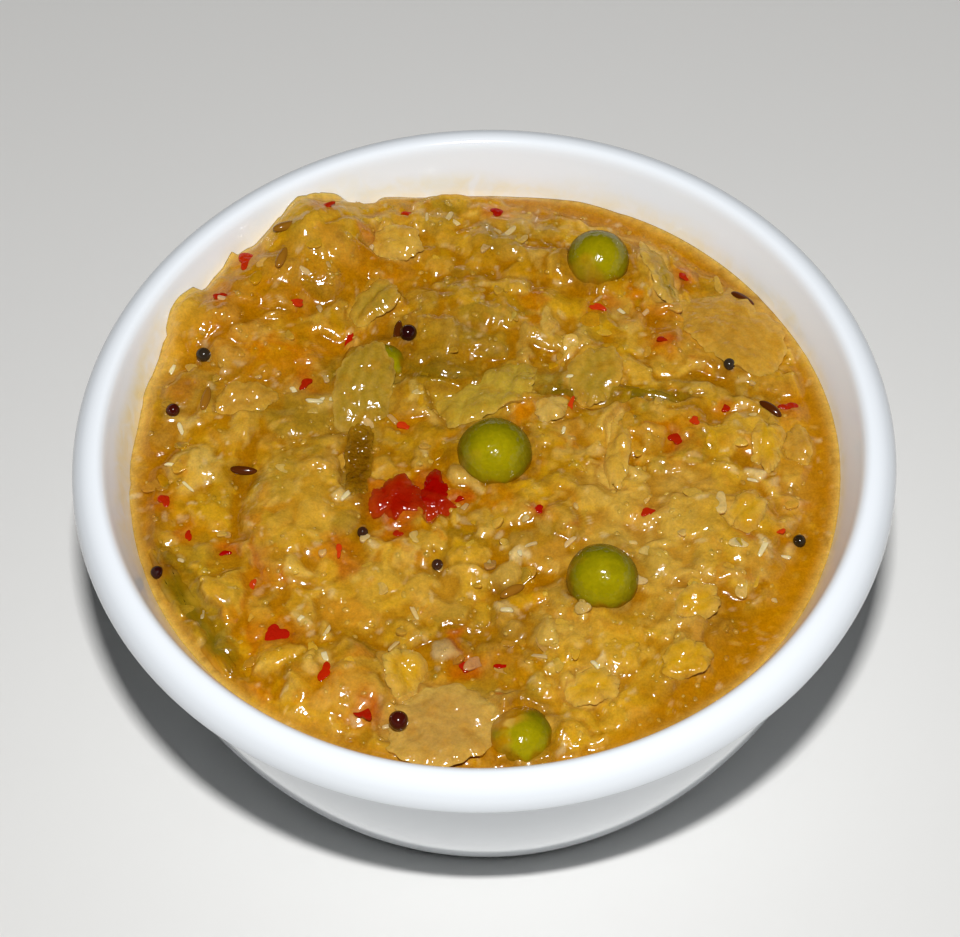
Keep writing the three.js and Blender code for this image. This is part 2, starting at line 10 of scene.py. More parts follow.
import json
import logging
from collections.abc import Callable, Iterable, Iterator, Sequence
from contextlib import contextmanager
from dataclasses import dataclass, field, replace
from enum import Enum
from math import atan2, cos, hypot, pi, radians, sin, sqrt, tan, tau

import bmesh
import bpy
import numpy as np
from mathutils import Matrix, Vector

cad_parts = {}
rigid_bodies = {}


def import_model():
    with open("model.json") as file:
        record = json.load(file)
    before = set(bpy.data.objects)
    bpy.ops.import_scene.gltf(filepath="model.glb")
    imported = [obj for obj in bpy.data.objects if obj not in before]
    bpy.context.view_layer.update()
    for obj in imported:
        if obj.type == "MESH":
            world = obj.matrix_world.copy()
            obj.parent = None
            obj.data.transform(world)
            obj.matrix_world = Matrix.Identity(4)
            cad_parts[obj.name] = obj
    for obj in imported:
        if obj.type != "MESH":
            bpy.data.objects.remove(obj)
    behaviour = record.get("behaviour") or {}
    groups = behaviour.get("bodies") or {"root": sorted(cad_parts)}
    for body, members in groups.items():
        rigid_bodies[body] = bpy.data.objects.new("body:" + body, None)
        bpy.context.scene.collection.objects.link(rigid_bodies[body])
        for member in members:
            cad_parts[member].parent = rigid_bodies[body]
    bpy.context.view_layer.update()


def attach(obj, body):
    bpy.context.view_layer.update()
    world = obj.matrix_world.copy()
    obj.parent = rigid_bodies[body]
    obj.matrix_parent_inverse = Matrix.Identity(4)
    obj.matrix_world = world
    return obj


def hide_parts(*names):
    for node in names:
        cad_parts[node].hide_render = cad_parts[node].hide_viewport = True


Array = np.ndarray
Object = bpy.types.Object
Material = bpy.types.Material
Node = bpy.types.Node
Socket = bpy.types.NodeSocket
Pair = tuple[float, float]
Triple = tuple[float, float, float]
Colour = tuple[float, float, float, float]
Rows = tuple[tuple[float, ...], ...]
Part = tuple[slice, slice]
Feeds = dict[str | int, Socket | float | tuple[float, ...]]

LOG = logging.getLogger("kootu")
MM = 0.001
PHOTO_WIDTH = 960
PHOTO_HEIGHT = 937
TONE_LAYER = "tone"
STAIN_LAYER = "stain"
WHOLLY_SMOOTH = 180.0


# --- Colours and small sums ---


class Tone(Enum):
    """The named colours of the food, as screen values from 0 to 255."""

    GRAVY = (180, 118, 0)
    DEEP_GRAVY = (152, 92, 0)
    MASH = (182, 130, 14)
    YELLOW = (204, 154, 14)
    PALE = (204, 158, 50)
    CREAM = (214, 176, 84)
    WHITE = (234, 214, 164)
    PINK = (188, 138, 46)
    TAN = (180, 138, 66)
    GREENISH = (162, 130, 34)
    DIM = (146, 108, 18)
    LEAF = (184, 154, 48)
    OCHRE = (138, 90, 2)
    ORANGE = (192, 116, 0)
    RUST = (186, 66, 4)
    BROWN = (104, 62, 6)
    OLIVE = (102, 86, 8)
    WALL_LINE = (222, 184, 92)

    @property
    def linear(self) -> Array:
        """The colour as linear red, green and blue."""
        return to_linear(self.value)


def to_linear(screen: Sequence[float]) -> Array:
    """Turns a screen colour, from 0 to 255, into linear light from 0 to 1."""
    share = np.asarray(screen, float) / 255
    return np.where(share <= 0.04045, share / 12.92, ((share + 0.055) / 1.055) ** 2.4)


def blend(under: Array, over: Array, share: Array | float) -> Array:
    """Mixes a second colour into the first, by one share or by a share for each point."""
    return under + (over - under) * np.asarray(share)[..., None]


def smoothstep(value: Array | float, low: float, high: float) -> Array:
    """A soft step from 0 at low to 1 at high; low may be the larger one."""
    share = np.clip((np.asarray(value, float) - low) / (high - low), 0, 1)
    return share * share * (3 - 2 * share)


def angle_between(first: Array | float, second: float) -> Array:
    """The shortest turn from one angle to others, in radians."""
    return np.arctan2(np.sin(first - second), np.cos(first - second))


def turns_away(angle: Array | float, middle: float, spread: float) -> Array:
    """How many spreads some angles in radians lie from a middle in degrees."""
    return angle_between(angle, radians(middle)) / radians(spread)


def bell(away: Array) -> Array:
    """A soft hump, 1 at no distance and next to nothing beyond 2."""
    return np.exp(-(away**2))


def along_across(x: Array, y: Array, turn: float) -> tuple[Array, Array]:
    """Measures points along and across a direction in radians."""
    return x * cos(turn) + y * sin(turn), y * cos(turn) - x * sin(turn)


# --- Blender helpers ---


def deselect_all() -> None:
    """Leaves nothing selected and nothing active."""
    for item in bpy.context.view_layer.objects:
        item.select_set(False)
    bpy.context.view_layer.objects.active = None


def make_active(piece: Object) -> None:
    """Selects one object alone and makes it active.

    Args:
        piece: The object.
    """
    deselect_all()
    piece.select_set(True)
    bpy.context.view_layer.objects.active = piece


@contextmanager
def edit_mode(piece: Object) -> Iterator[None]:
    """Opens one piece for mesh editing, all of it selected, and closes it again.

    Args:
        piece: The mesh object to edit.
    """
    make_active(piece)
    bpy.ops.object.mode_set(mode="EDIT")
    bpy.ops.mesh.select_mode(type="VERT")
    bpy.ops.mesh.select_all(action="SELECT")
    try:
        yield
    finally:
        bpy.ops.object.mode_set(mode="OBJECT")


def get_points(piece: Object) -> Array:
    """Reads a mesh's points.

    Args:
        piece: The mesh object.

    Returns:
        Rows of x, y and z.
    """
    flat = np.empty(len(piece.data.vertices) * 3, np.float32)
    piece.data.vertices.foreach_get("co", flat)
    return flat.reshape(-1, 3).astype(float)


def set_points(piece: Object, points: Array) -> None:
    """Writes a mesh's points from rows of x, y and z."""
    piece.data.vertices.foreach_set("co", np.asarray(points, np.float32).ravel())
    piece.data.update()


def set_tone(piece: Object, colours: Array, skin: Array | float = 1.0) -> None:
    """Stores one linear colour for each point, and how grainy the skin is there.

    Args:
        piece: The mesh object.
        colours: Rows of red, green and blue, one for each point.
        skin: From 0, smooth gravy, to 1, a grainy skin.
    """
    layer = piece.data.attributes.new(TONE_LAYER, "FLOAT_COLOR", "POINT")
    rows = np.ones((len(colours), 4), np.float32)
    rows[:, :3] = np.clip(colours, 0, 1)
    rows[:, 3] = skin
    layer.data.foreach_set("color", rows.ravel())


def turn_faces_out(piece: Object) -> None:
    """Merges doubled points and points every face outwards.

    Args:
        piece: The mesh object.
    """
    with edit_mode(piece):
        bpy.ops.mesh.remove_doubles(threshold=1e-7)
        bpy.ops.mesh.normals_make_consistent(inside=False)


def finish_piece(
    piece: Object, name: str, material: Material, node: str, smooth_angle: float = WHOLLY_SMOOTH
) -> None:
    """Names, shades and binds a finished piece to the frame.

    Args:
        piece: The mesh object, in place.
        name: Its name in the scene.
        material: Its finish.
        node: The CAD node that it stands for.
        smooth_angle: Edges under this angle are shaded smooth.
    """
    piece.name = name
    piece.data.name = name
    piece.data.materials.clear()
    piece.data.materials.append(material)
    make_active(piece)
    bpy.ops.object.shade_smooth_by_angle(angle=radians(smooth_angle))
    deselect_all()
    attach(piece, "root")
    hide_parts(node)
    LOG.info("%s: %d faces", name, len(piece.data.polygons))


def add_disc_grid(cells: int) -> Object:
    """Adds a square grid and wraps it evenly onto a disc of radius 1.

    Args:
        cells: Grid cells along one side.

    Returns:
        The disc, its points evenly dense from the middle to the edge.
    """
    deselect_all()
    bpy.ops.mesh.primitive_grid_add(x_subdivisions=cells, y_subdivisions=cells, size=2)
    disc = bpy.context.object
    points = get_points(disc)
    u, v = points[:, 0], points[:, 1]
    wide = np.abs(u) >= np.abs(v)
    safe_u = np.where(u == 0, 1, u)
    safe_v = np.where(v == 0, 1, v)
    radius = np.where(wide, u, v)
    angle = np.where(wide, pi / 4 * v / safe_u, pi / 2 - pi / 4 * u / safe_v)
    points[:, 0] = radius * np.cos(angle)
    points[:, 1] = radius * np.sin(angle)
    set_points(disc, points)
    return disc


# --- Camera, lights and floor ---


@dataclass(frozen=True)
class PhotoCamera:
    """The camera at the photograph's place, tilt and lens."""

    tilt: float = 55.0
    roll: float = -1.93
    distance: float = 400.0
    focal_pixels: float = 3314.5
    target_x: float = -0.5
    target_y: float = -4.21
    target_height: float = 42.0
    sensor_width: float = 36.0
    nearest: float = 0.01
    farthest: float = 10.0

    def axes(self) -> tuple[Array, Array, Array]:
        """Finds the camera's own directions.

        Returns:
            Unit vectors to its right, to its top and back away from the object.
        """
        tilt = radians(self.tilt)
        roll = radians(self.roll)
        back = np.array([0, -cos(tilt), sin(tilt)])
        level = np.array([1.0, 0, 0])
        rise = np.array([0, sin(tilt), cos(tilt)])
        right = cos(roll) * level + sin(roll) * rise
        top = -sin(roll) * level + cos(roll) * rise
        return right, top, back

    def place(self) -> Array:
        """Works out where the camera stands.

        Returns:
            Its x, y and z.
        """
        tilt = radians(self.tilt)
        height = self.target_height + self.target_y * cos(tilt)
        target = np.array([self.target_x, self.target_y * sin(tilt), height])
        return target + self.axes()[2] * self.distance

    def at_height(self, pixel: Pair, height: float) -> Pair:
        """Finds the point that a pixel of the photograph shows at one height.

        Args:
            pixel: Column and row in the photograph.
            height: The height of the point.

        Returns:
            The point's x and y.
        """
        right, top, back = self.axes()
        across = (pixel[0] - PHOTO_WIDTH / 2) / self.focal_pixels
        up = (PHOTO_HEIGHT / 2 - pixel[1]) / self.focal_pixels
        ray = -back + right * across + top * up
        place = self.place()
        point = place + ray * (height - place[2]) / ray[2]
        return float(point[0]), float(point[1])

    def build(self) -> None:
        """Makes the camera and takes the picture through it."""
        data = bpy.data.cameras.new("photo_camera")
        data.sensor_fit = "HORIZONTAL"
        data.sensor_width = self.sensor_width
        data.lens = self.focal_pixels / PHOTO_WIDTH * self.sensor_width
        data.clip_start = self.nearest
        data.clip_end = self.farthest
        camera = bpy.data.objects.new("photo_camera", data)
        bpy.context.scene.collection.objects.link(camera)
        turn = Matrix([Vector(axis) for axis in self.axes()]).transposed().to_4x4()
        camera.matrix_world = Matrix.Translation(Vector(self.place()) * MM) @ turn
        bpy.context.scene.camera = camera


@dataclass(frozen=True)
class Studio:
    """A small hard light over the camera, a weak fill from the right, and a pale floor."""

    key_place: Triple = (4.4, -197.0, 502.0)
    key_size: Pair = (33.0, 9.0)
    key_power: float = 2.68
    fill_place: Triple = (450.0, -90.0, 70.0)
    fill_size: Pair = (300.0, 300.0)
    fill_power: float = 0.14
    room_strength: float = 0.003
    room_colour: Colour = (1.0, 0.96, 0.80, 1.0)
    floor_reach: float = 3000.0
    floor_cuts: int = 3
    look_at: Triple = (0.0, 0.0, 30.0)
    bounces: int = 8
    diffuse_bounces: int = 4
    glossy_bounces: int = 3

    def add_light(self, name: str, place: Triple, size: Pair, power: float) -> None:
        """Adds one flat light that faces the bowl.

        Args:
            name: The light's name.
            place: Where it stands.
            size: Its width and height.
            power: Its power in watts.
        """
        data = bpy.data.lights.new(name, "AREA")
        data.shape = "RECTANGLE"
        data.size = size[0] * MM
        data.size_y = size[1] * MM
        data.energy = power
        light = bpy.data.objects.new(name, data)
        bpy.context.scene.collection.objects.link(light)
        toward = Vector(self.look_at) - Vector(place)
        turn = toward.to_track_quat("-Z", "Y").to_matrix().to_4x4()
        light.matrix_world = Matrix.Translation(Vector(place) * MM) @ turn

    def build_lights(self) -> None:
        """Adds the lights and the even light of the room."""
        self.add_light("key_light", self.key_place, self.key_size, self.key_power)
        self.add_light("fill_light", self.fill_place, self.fill_size, self.fill_power)
        world = bpy.data.worlds.new("room")
        world.use_nodes = True
        background = world.node_tree.nodes["Background"]
        background.inputs["Color"].default_value = self.room_colour
        background.inputs["Strength"].default_value = self.room_strength
        bpy.context.scene.world = world

    def build_floor(self, finish: PaleFloor) -> None:
        """Lays the floor under the foot.

        Args:
            finish: The floor's finish.
        """
        deselect_all()
        bpy.ops.mesh.primitive_plane_add(size=self.floor_reach * MM)
        floor = bpy.context.object
        with edit_mode(floor):
            bpy.ops.mesh.subdivide(number_cuts=self.floor_cuts)
        floor.name = "floor"
        floor.data.materials.append(finish.build())

    def set_picture(self) -> None:
        """Sets how the picture is developed."""
        scene = bpy.context.scene
        scene.view_settings.view_transform = "Standard"
        scene.view_settings.look = "None"
        scene.view_settings.exposure = 0
        scene.view_settings.gamma = 1
        scene.cycles.use_denoising = True
        scene.cycles.denoiser = "OPENIMAGEDENOISE"
        scene.cycles.max_bounces = self.bounces
        scene.cycles.diffuse_bounces = self.diffuse_bounces
        scene.cycles.glossy_bounces = self.glossy_bounces


# --- Shader nodes ---


class NodeKit:
    """Adds and joins nodes in one node tree."""

    def __init__(self, tree: bpy.types.NodeTree) -> None:
        """Keeps the tree that the nodes go into."""
        self.tree = tree

    def feed(self, node: Node, feeds: Feeds) -> None:
        """Joins sockets and sets values at a node's inputs.

        Args:
            node: The node.
            feeds: A socket to join or a value to set, by the name or place of the input.
        """
        for place, value in feeds.items():
            if isinstance(value, Socket):
                self.tree.links.new(value, node.inputs[place])
            else:
                node.inputs[place].default_value = value

    def add(self, kind: str, feeds: Feeds | None = None, **settings: object) -> Node:
        """Adds a node.

        Args:
            kind: The node's type name.
            feeds: What goes into its inputs.
            **settings: Values for its properties.

        Returns:
            The node.
        """
        node = self.tree.nodes.new(kind)
        for name, value in settings.items():
            setattr(node, name, value)
        self.feed(node, feeds or {})
        return node

    def noise(self, place: Socket, scale: float, detail: float = 2, distortion: float = 0) -> Socket:
        """Adds a noise of some waves in a metre, with finer layers and stirred."""
        feeds = {"Vector": place, "Scale": scale, "Detail": detail, "Distortion": distortion}
        return self.add("ShaderNodeTexNoise", feeds).outputs["Fac"]

    def math(self, operation: str, first: Socket, second: Socket | float) -> Socket:
        """Adds a sum of two values, by Blender's name of the sum."""
        return self.add("ShaderNodeMath", {0: first, 1: second}, operation=operation).outputs[0]

    def scaled(self, vector: Socket, scale: Socket) -> Socket:
        """Scales a vector or a colour."""
        feeds = {0: vector, "Scale": scale}
        return self.add("ShaderNodeVectorMath", feeds, operation="SCALE").outputs[0]

    def remap(self, value: Socket, source: Pair, target: Pair) -> Socket:
        """Stretches a value from one range to another and holds it inside.

        Args:
            value: The value.
            source: Its range now.
            target: The range wanted.

        Returns:
            The stretched value.
        """
        feeds = {"Value": value, "From Min": source[0], "From Max": source[1]}
        feeds |= {"To Min": target[0], "To Max": target[1]}
        return self.add("ShaderNodeMapRange", feeds).outputs["Result"]

    def mix(self, share: Socket, first: Socket | Colour, second: Socket | Colour) -> Socket:
        """Mixes the second colour into the first."""
        feeds = {0: share, 6: first, 7: second}
        return self.add("ShaderNodeMix", feeds, data_type="RGBA").outputs[2]

    def bump(self, height: Socket, depth: float) -> Socket:
        """Turns a height into the normal of a relief of some depth."""
        feeds = {"Height": height, "Strength": 1.0, "Distance": depth * MM}
        return self.add("ShaderNodeBump", feeds).outputs["Normal"]


class ShaderGroup:
    """A node group that is built at its first use and then shared."""

    NAME = "group"
    INPUTS = {"Place": "NodeSocketVector", "Size": "NodeSocketFloat"}
    OUTPUT = ("Height", "NodeSocketFloat")

    def get(self) -> bpy.types.NodeTree:
        """Finds or builds the group.

        Returns:
            The shader group.
        """
        if self.NAME in bpy.data.node_groups:
            return bpy.data.node_groups[self.NAME]
        tree = bpy.data.node_groups.new(self.NAME, "ShaderNodeTree")
        for name, kind in self.INPUTS.items():
            tree.interface.new_socket(name, in_out="INPUT", socket_type=kind)
        name, kind = self.OUTPUT
        tree.interface.new_socket(name, in_out="OUTPUT", socket_type=kind)
        kit = NodeKit(tree)
        source = kit.add("NodeGroupInput").outputs
        place = kit.scaled(source["Place"], source["Size"])
        kit.add("NodeGroupOutput", {name: self.fill(kit, source, place)})
        return tree

    def fill(self, kit: NodeKit, source: bpy.types.NodeOutputs, place: Socket) -> Socket:
        """Builds the inside of the group; each kind of group has its own."""
        raise NotImplementedError

    def use(self, kit: NodeKit, feeds: Feeds) -> Socket:
        """Adds the group to a finish's tree, and gives its output."""
        return kit.add("ShaderNodeGroup", feeds, node_tree=self.get()).outputs[0]


class MottleGroup(ShaderGroup):
    """A group that breaks a colour up with lighter and darker, redder and paler flecks."""

    NAME = "mottle"
    INPUTS = {"Colour": "NodeSocketColor", **ShaderGroup.INPUTS, "Amount": "NodeSocketFloat"}
    OUTPUT = ("Colour", "NodeSocketColor")

    def fill(self, kit: NodeKit, source: bpy.types.NodeOutputs, place: Socket) -> Socket:
        """Brightens and dims the colour, and adds pale flecks.

        Args:
            kit: The group's nodes.
            source: The group's inputs.
            place: The scaled place that the noises read.

        Returns:
            The broken colour.
        """
        broad = kit.noise(place, 1.0, 3, 0.6)
        fine = kit.noise(place, 3.7, 2, 0.3)
        light = kit.remap(broad, (0.35, 0.65), (-1, 1))
        grit = kit.remap(fine, (0.3, 0.7), (-1, 1))
        fleck = kit.remap(fine, (0.4, 0.7), (0, 1))
        swing = kit.math("MULTIPLY", kit.math("ADD", light, grit), source["Amount"])
        brighter = kit.scaled(source["Colour"], kit.math("ADD", swing, 1.0))
        share = kit.math("MULTIPLY", fleck, source["Amount"])
        return kit.mix(share, brighter, (*Tone.YELLOW.linear, 1))


class WetSkinGroup(ShaderGroup):
    """A group that gives the fine relief of a wet, grainy skin."""

    NAME = "wet_skin"
    INPUTS = {**ShaderGroup.INPUTS, "Fine Share": "NodeSocketFloat", "Share": "NodeSocketFloat"}

    def fill(self, kit: NodeKit, source: bpy.types.NodeOutputs, place: Socket) -> Socket:
        """Adds finer grains to broad ones, and holds both back to a share.

        Args:
            kit: The group's nodes.
            source: The group's inputs.
            place: The scaled place that the noises read.

        Returns:
            The relief's height.
        """
        broad = kit.noise(place, 1.0, 1)
        small = kit.math("MULTIPLY", kit.noise(place, 2.9, 1), source["Fine Share"])
        return kit.math("MULTIPLY", kit.math("ADD", broad, small), source["Share"])


# --- Finishes ---


def new_material(name: str) -> tuple[Material, NodeKit, Node, Socket]:
    """Starts a material with its main shader.

    Args:
        name: The material's name.

    Returns:
        The material, a kit on its tree, its main shader node and the place in the object.
    """
    material = bpy.data.materials.new(name)
    material.use_nodes = True
    kit = NodeKit(material.node_tree)
    place = kit.add("ShaderNodeTexCoord").outputs["Object"]
    return material, kit, material.node_tree.nodes["Principled BSDF"], place


@dataclass(frozen=True)
class WetFood:
    """A wet food surface: its own tones, broken up, under a thin shiny film."""

    name: str
    mottle_size: float = 1000.0
    mottle_amount: float = 0.1
    skin_size: float = 1050.0
    fine_share: float = 0.12
    skin_depth: float = 0.17
    film_roughness: Pair = (0.1, 0.17)
    film_size: float = 420.0
    film_stir: float = 0.4
    index: float = 1.42
    depth_share: float = 0.45
    depth: float = 0.9
    depth_colour: Triple = (1.0, 0.66, 0.24)

    def build(self) -> Material:
        """Builds the material.

        Returns:
            The material, which reads the point colours of the piece.
        """
        material, kit, shader, place = new_material(self.name)
        tone = kit.add("ShaderNodeAttribute", attribute_name=TONE_LAYER).outputs
        mottle = {"Colour": tone["Color"], "Place": place, "Size": self.mottle_size}
        skin = {"Share": tone["Alpha"], "Place": place, "Size": self.skin_size, "Fine Share": self.fine_share}
        film = kit.noise(place, self.film_size, 2, self.film_stir)
        relief = WetSkinGroup().use(kit, skin)
        shading = {
            "Base Color": MottleGroup().use(kit, {**mottle, "Amount": self.mottle_amount}),
            "Roughness": kit.remap(film, (0.35, 0.68), self.film_roughness),
            "Normal": kit.bump(relief, self.skin_depth),
            "IOR": self.index,
            "Subsurface Weight": self.depth_share,
            "Subsurface Scale": self.depth * MM,
            "Subsurface Radius": self.depth_colour,
        }
        kit.feed(shader, shading)
        return material


@dataclass(frozen=True)
class BowlGlaze:
    """White glaze, bluish and clean, with a thin cream stain where the stew has touched it."""

    name: str = "white_glaze"
    glaze: Colour = (0.905, 0.95, 1.0, 1)
    stain: Colour = (0.90, 0.77, 0.40, 1)
    roughness: float = 0.10
    stain_roughness: float = 0.3
    stain_cloud: float = 330.0
    index: float = 1.5
    wave_size: float = 55.0
    wave_depth: float = 0.05

    def build(self) -> Material:
        """Builds the material.

        Returns:
            The material, which reads the stain stored on the bowl's points.
        """
        material, kit, shader, place = new_material(self.name)
        stain = kit.add("ShaderNodeAttribute", attribute_name=STAIN_LAYER).outputs["Fac"]
        uneven = kit.remap(kit.noise(place, self.stain_cloud, 4, 0.8), (0.3, 0.68), (0.25, 1.25))
        held = kit.remap(kit.math("MULTIPLY", stain, uneven), (0, 1), (0, 1))
        shading = {
            "Base Color": kit.mix(held, self.glaze, self.stain),
            "Roughness": kit.remap(held, (0, 1), (self.roughness, self.stain_roughness)),
            "Normal": kit.bump(kit.noise(place, self.wave_size, 1), self.wave_depth),
            "IOR": self.index,
        }
        kit.feed(shader, shading)
        return material


@dataclass(frozen=True)
class PaleFloor:
    """A plain pale matt floor with a barely seen unevenness."""

    name: str = "pale_floor"
    colour: Colour = (0.80, 0.795, 0.775, 1)
    shade: Colour = (0.78, 0.775, 0.76, 1)
    roughness: float = 0.6
    shine: float = 0.2
    cloud_size: float = 14.0

    def build(self) -> Material:
        """Builds the material.

        Returns:
            The floor's material.
        """
        material, kit, shader, place = new_material(self.name)
        colour = kit.mix(kit.noise(place, self.cloud_size, 3), self.colour, self.shade)
        kit.feed(shader, {"Base Color": colour, "Roughness": self.roughness})
        kit.feed(shader, {"Specular IOR Level": self.shine})
        return material


STEW_WET = WetFood("stew_wet")
PEA_SKIN = WetFood(
    "pea_skin", mottle_size=600, mottle_amount=0.05, skin_size=1200, skin_depth=0.16, index=1.38,
    film_roughness=(0.1, 0.18), depth_share=0.25, depth_colour=(0.8, 1.0, 0.15),
)
CABBAGE_WET = WetFood("cabbage_wet", skin_size=900, skin_depth=0.24, mottle_amount=0.08)
RED_CHILLI_WET = WetFood("red_chilli_wet", mottle_amount=0, skin_size=1300, skin_depth=0.26, depth_share=0.1)
GREEN_CHILLI_WET = WetFood("green_chilli_wet", mottle_amount=0.06, skin_size=1300, skin_depth=0.55)
CURRY_LEAF_WET = WetFood("curry_leaf_wet", mottle_amount=0.04, depth_share=0.2, skin_depth=0.1)
MUSTARD_SKIN = WetFood("mustard_skin", mottle_amount=0, depth_share=0, skin_depth=0.05)
CUMIN_SKIN = replace(MUSTARD_SKIN, name="cumin_skin")
FLAKE_WET = WetFood("flake_wet", mottle_amount=0, depth_share=0.1, skin_size=1800)
COCONUT_WET = WetFood("coconut_wet", mottle_amount=0.05, skin_depth=0.08)
GRAIN_WET = WetFood("grain_wet", mottle_amount=0.08, skin_depth=0.08)
SCRAP_WET = WetFood("scrap_wet", mottle_amount=0.1, skin_depth=0.1)


# --- The bowl ---


@dataclass
class Bowl:
    """A small glazed bowl: a rounded rim band over a gently bulging wall and a low foot."""

    radius: float = 50.0
    height: float = 42.0
    band_half_width: float = 3.0
    band_rise: float = 3.7
    band_drop: float = 1.1
    wall_top_radius: float = 46.7
    wall_bulge: float = 2.2
    foot_radius: float = 35.3
    foot_rounding: float = 0.6
    foot_ring_width: float = 3.4
    foot_recess: float = 0.9
    floor_height: float = 4.2
    lip_width: float = 1.5
    lip_drop: float = 2.4
    lip_end: float = 155.0
    turns: int = 224
    hollow_steps: int = 160
    stain_base: float = 34.5
    hollow: Rows = ((22.0, 4.2), (30.5, 6.4), (36.4, 13.0), (40.4, 24.0), (43.5, 35.0), (45.6, 40.6))
    stains: Rows = (
        (98, 24, 4.4, 0.42), (122, 12, 6.4, 0.50), (140, 16, 6.6, 0.35), (172, 22, 5.8, 0.80),
        (205, 16, 5.2, 0.50), (62, 16, 3.8, 0.30), (28, 22, 2.6, 0.42), (0, 20, 1.8, 0.30),
    )
    fine_hollow: Array = field(init=False, repr=False)

    def hollow_line(self, count: int) -> Array:
        """Draws the inside of the bowl from its floor to its lip.

        Args:
            count: Steps along the line.

        Returns:
            Rows of radius and height.
        """
        knots = np.array(self.hollow)
        last = len(knots) - 1
        rows = []
        for step in np.linspace(0, last, count + 1):
            index = min(int(step), last - 1)
            share = step - index
            before = knots[max(index - 1, 0)]
            here = knots[index]
            after = knots[index + 1]
            beyond = knots[min(index + 2, last)]
            bend = 2 * before - 5 * here + 4 * after - beyond
            twist = -before + 3 * here - 3 * after + beyond
            slope = after - before
            rows.append(here + 0.5 * (slope * share + bend * share**2 + twist * share**3))
        return np.array(rows)

    def __post_init__(self) -> None:
        """Keeps a fine line of the hollow for looking up radii."""
        self.fine_hollow = self.hollow_line(self.hollow_steps)

    def hollow_radius(self, height: Array | float) -> Array:
        """The radius of the inside of the bowl at some heights."""
        return np.interp(height, self.fine_hollow[:, 1], self.fine_hollow[:, 0])

    def arc(self, centre: Pair, reach: Pair, turn: Pair, count: int) -> Array:
        """Draws part of an ellipse.

        Args:
            centre: Its middle, as radius and height.
            reach: Its half width and half height.
            turn: The angles at which it starts and ends.
            count: Steps along it.

        Returns:
            Rows of radius and height.
        """
        angles = np.radians(np.linspace(turn[0], turn[1], count + 1))
        radii = centre[0] + reach[0] * np.cos(angles)
        heights = centre[1] + reach[1] * np.sin(angles)
        return np.stack([radii, heights], -1)

    def wall_line(self, count: int) -> Array:
        """Draws the outside of the wall from the foot to the rim band.

        Args:
            count: Steps along the line.

        Returns:
            Rows of radius and height.
        """
        low = np.array([self.foot_radius, self.foot_rounding])
        high = np.array([self.wall_top_radius, self.height - self.band_rise - self.band_drop])
        along = (high - low) / np.linalg.norm(high - low)
        middle = (low + high) / 2 + 2 * self.wall_bulge * np.array([along[1], -along[0]])
        share = np.linspace(0, 1, count + 1)[:, None]
        return (1 - share) ** 2 * low + 2 * share * (1 - share) * middle + share**2 * high

    def profile(self) -> Array:
        """Draws the whole section, from the axis under the foot to the axis inside.

        Returns:
            Rows of radius and height.
        """
        band_centre = self.height - self.band_rise
        band_inner = self.radius - self.band_half_width
        ring_outer = self.foot_radius - self.foot_rounding
        ring_inner = ring_outer - self.foot_ring_width
        round_centre = (ring_outer, self.foot_rounding)
        round_reach = (self.foot_rounding, self.foot_rounding)
        under = [(0, self.foot_recess), (12, self.foot_recess), (24, self.foot_recess)]
        recess = [(ring_inner - self.foot_recess, self.foot_recess), (ring_inner, 0)]
        lip_centre = (band_inner, self.height - self.lip_drop)
        lip_reach = (self.lip_width, self.lip_drop)
        parts = [
            np.array(under + recess),
            self.arc(round_centre, round_reach, (-90, 0), 6),
            self.wall_line(26)[1:],
            self.arc((band_inner, band_centre), (self.band_half_width, self.band_drop), (-60, 0), 6),
            self.arc((band_inner, band_centre), (self.band_half_width, self.band_rise), (0, 90), 14)[1:],
            self.arc(lip_centre, lip_reach, (90, self.lip_end), 8)[1:-1],
            self.hollow_line(56)[::-1],
            np.array([(14, self.floor_height), (7, self.floor_height), (0, self.floor_height)]),
        ]
        return np.concatenate(parts)

    def stain_amount(self, points: Array) -> Array:
        """Works out where the stew has smeared the inside of the wall.

        Args:
            points: Rows of x, y and z in millimetres.

        Returns:
            The strength of the stain at each point, from 0 to 1.
        """
        angle = np.arctan2(points[:, 1], points[:, 0])
        reach = np.hypot(points[:, 0], points[:, 1])
        inside = reach < self.hollow_radius(points[:, 2]) + 0.6
        over = points[:, 2] - self.stain_base
        amount = np.zeros(len(points))
        for middle, spread, top, strength in self.stains:
            near = bell(turns_away(angle, middle, spread))
            wave = 0.8 * np.sin(9 * angle + middle) + 0.5 * np.sin(17 * angle)
            low = 1 - smoothstep(over, top * 0.45 + wave, top + wave)
            amount = np.maximum(amount, strength * near * low)
        line = bell((over - 0.9) / 1.2) * 0.45
        return np.where(inside, np.clip(np.maximum(amount, line), 0, 1), 0)

    def build(self, glaze: BowlGlaze) -> None:
        """Turns the bowl from its section.

        Args:
            glaze: Its finish.
        """
        line = self.profile()
        deselect_all()
        bpy.ops.mesh.primitive_plane_add(size=MM)
        bowl = bpy.context.object
        start = Vector((line[0][0], 0, line[0][1])) * MM
        with edit_mode(bowl):
            bpy.ops.mesh.merge(type="CENTER")
            bpy.ops.transform.translate(value=start)
            for before, after in zip(line[:-1], line[1:]):
                step = Vector((after[0] - before[0], 0, after[1] - before[1])) * MM
                bpy.ops.mesh.extrude_region_move(TRANSFORM_OT_translate={"value": step})
            bpy.ops.mesh.select_all(action="SELECT")
            bpy.ops.mesh.spin(steps=self.turns, angle=tau, axis=(0, 0, 1), use_auto_merge=True)
        turn_faces_out(bowl)
        points = get_points(bowl) / MM
        layer = bowl.data.attributes.new(STAIN_LAYER, "FLOAT", "POINT")
        layer.data.foreach_set("value", self.stain_amount(points).astype(np.float32))
        finish_piece(bowl, "glazed_bowl", glaze.build(), "bowl", 35)


# --- What lies in the stew, as placed in the CAD model ---


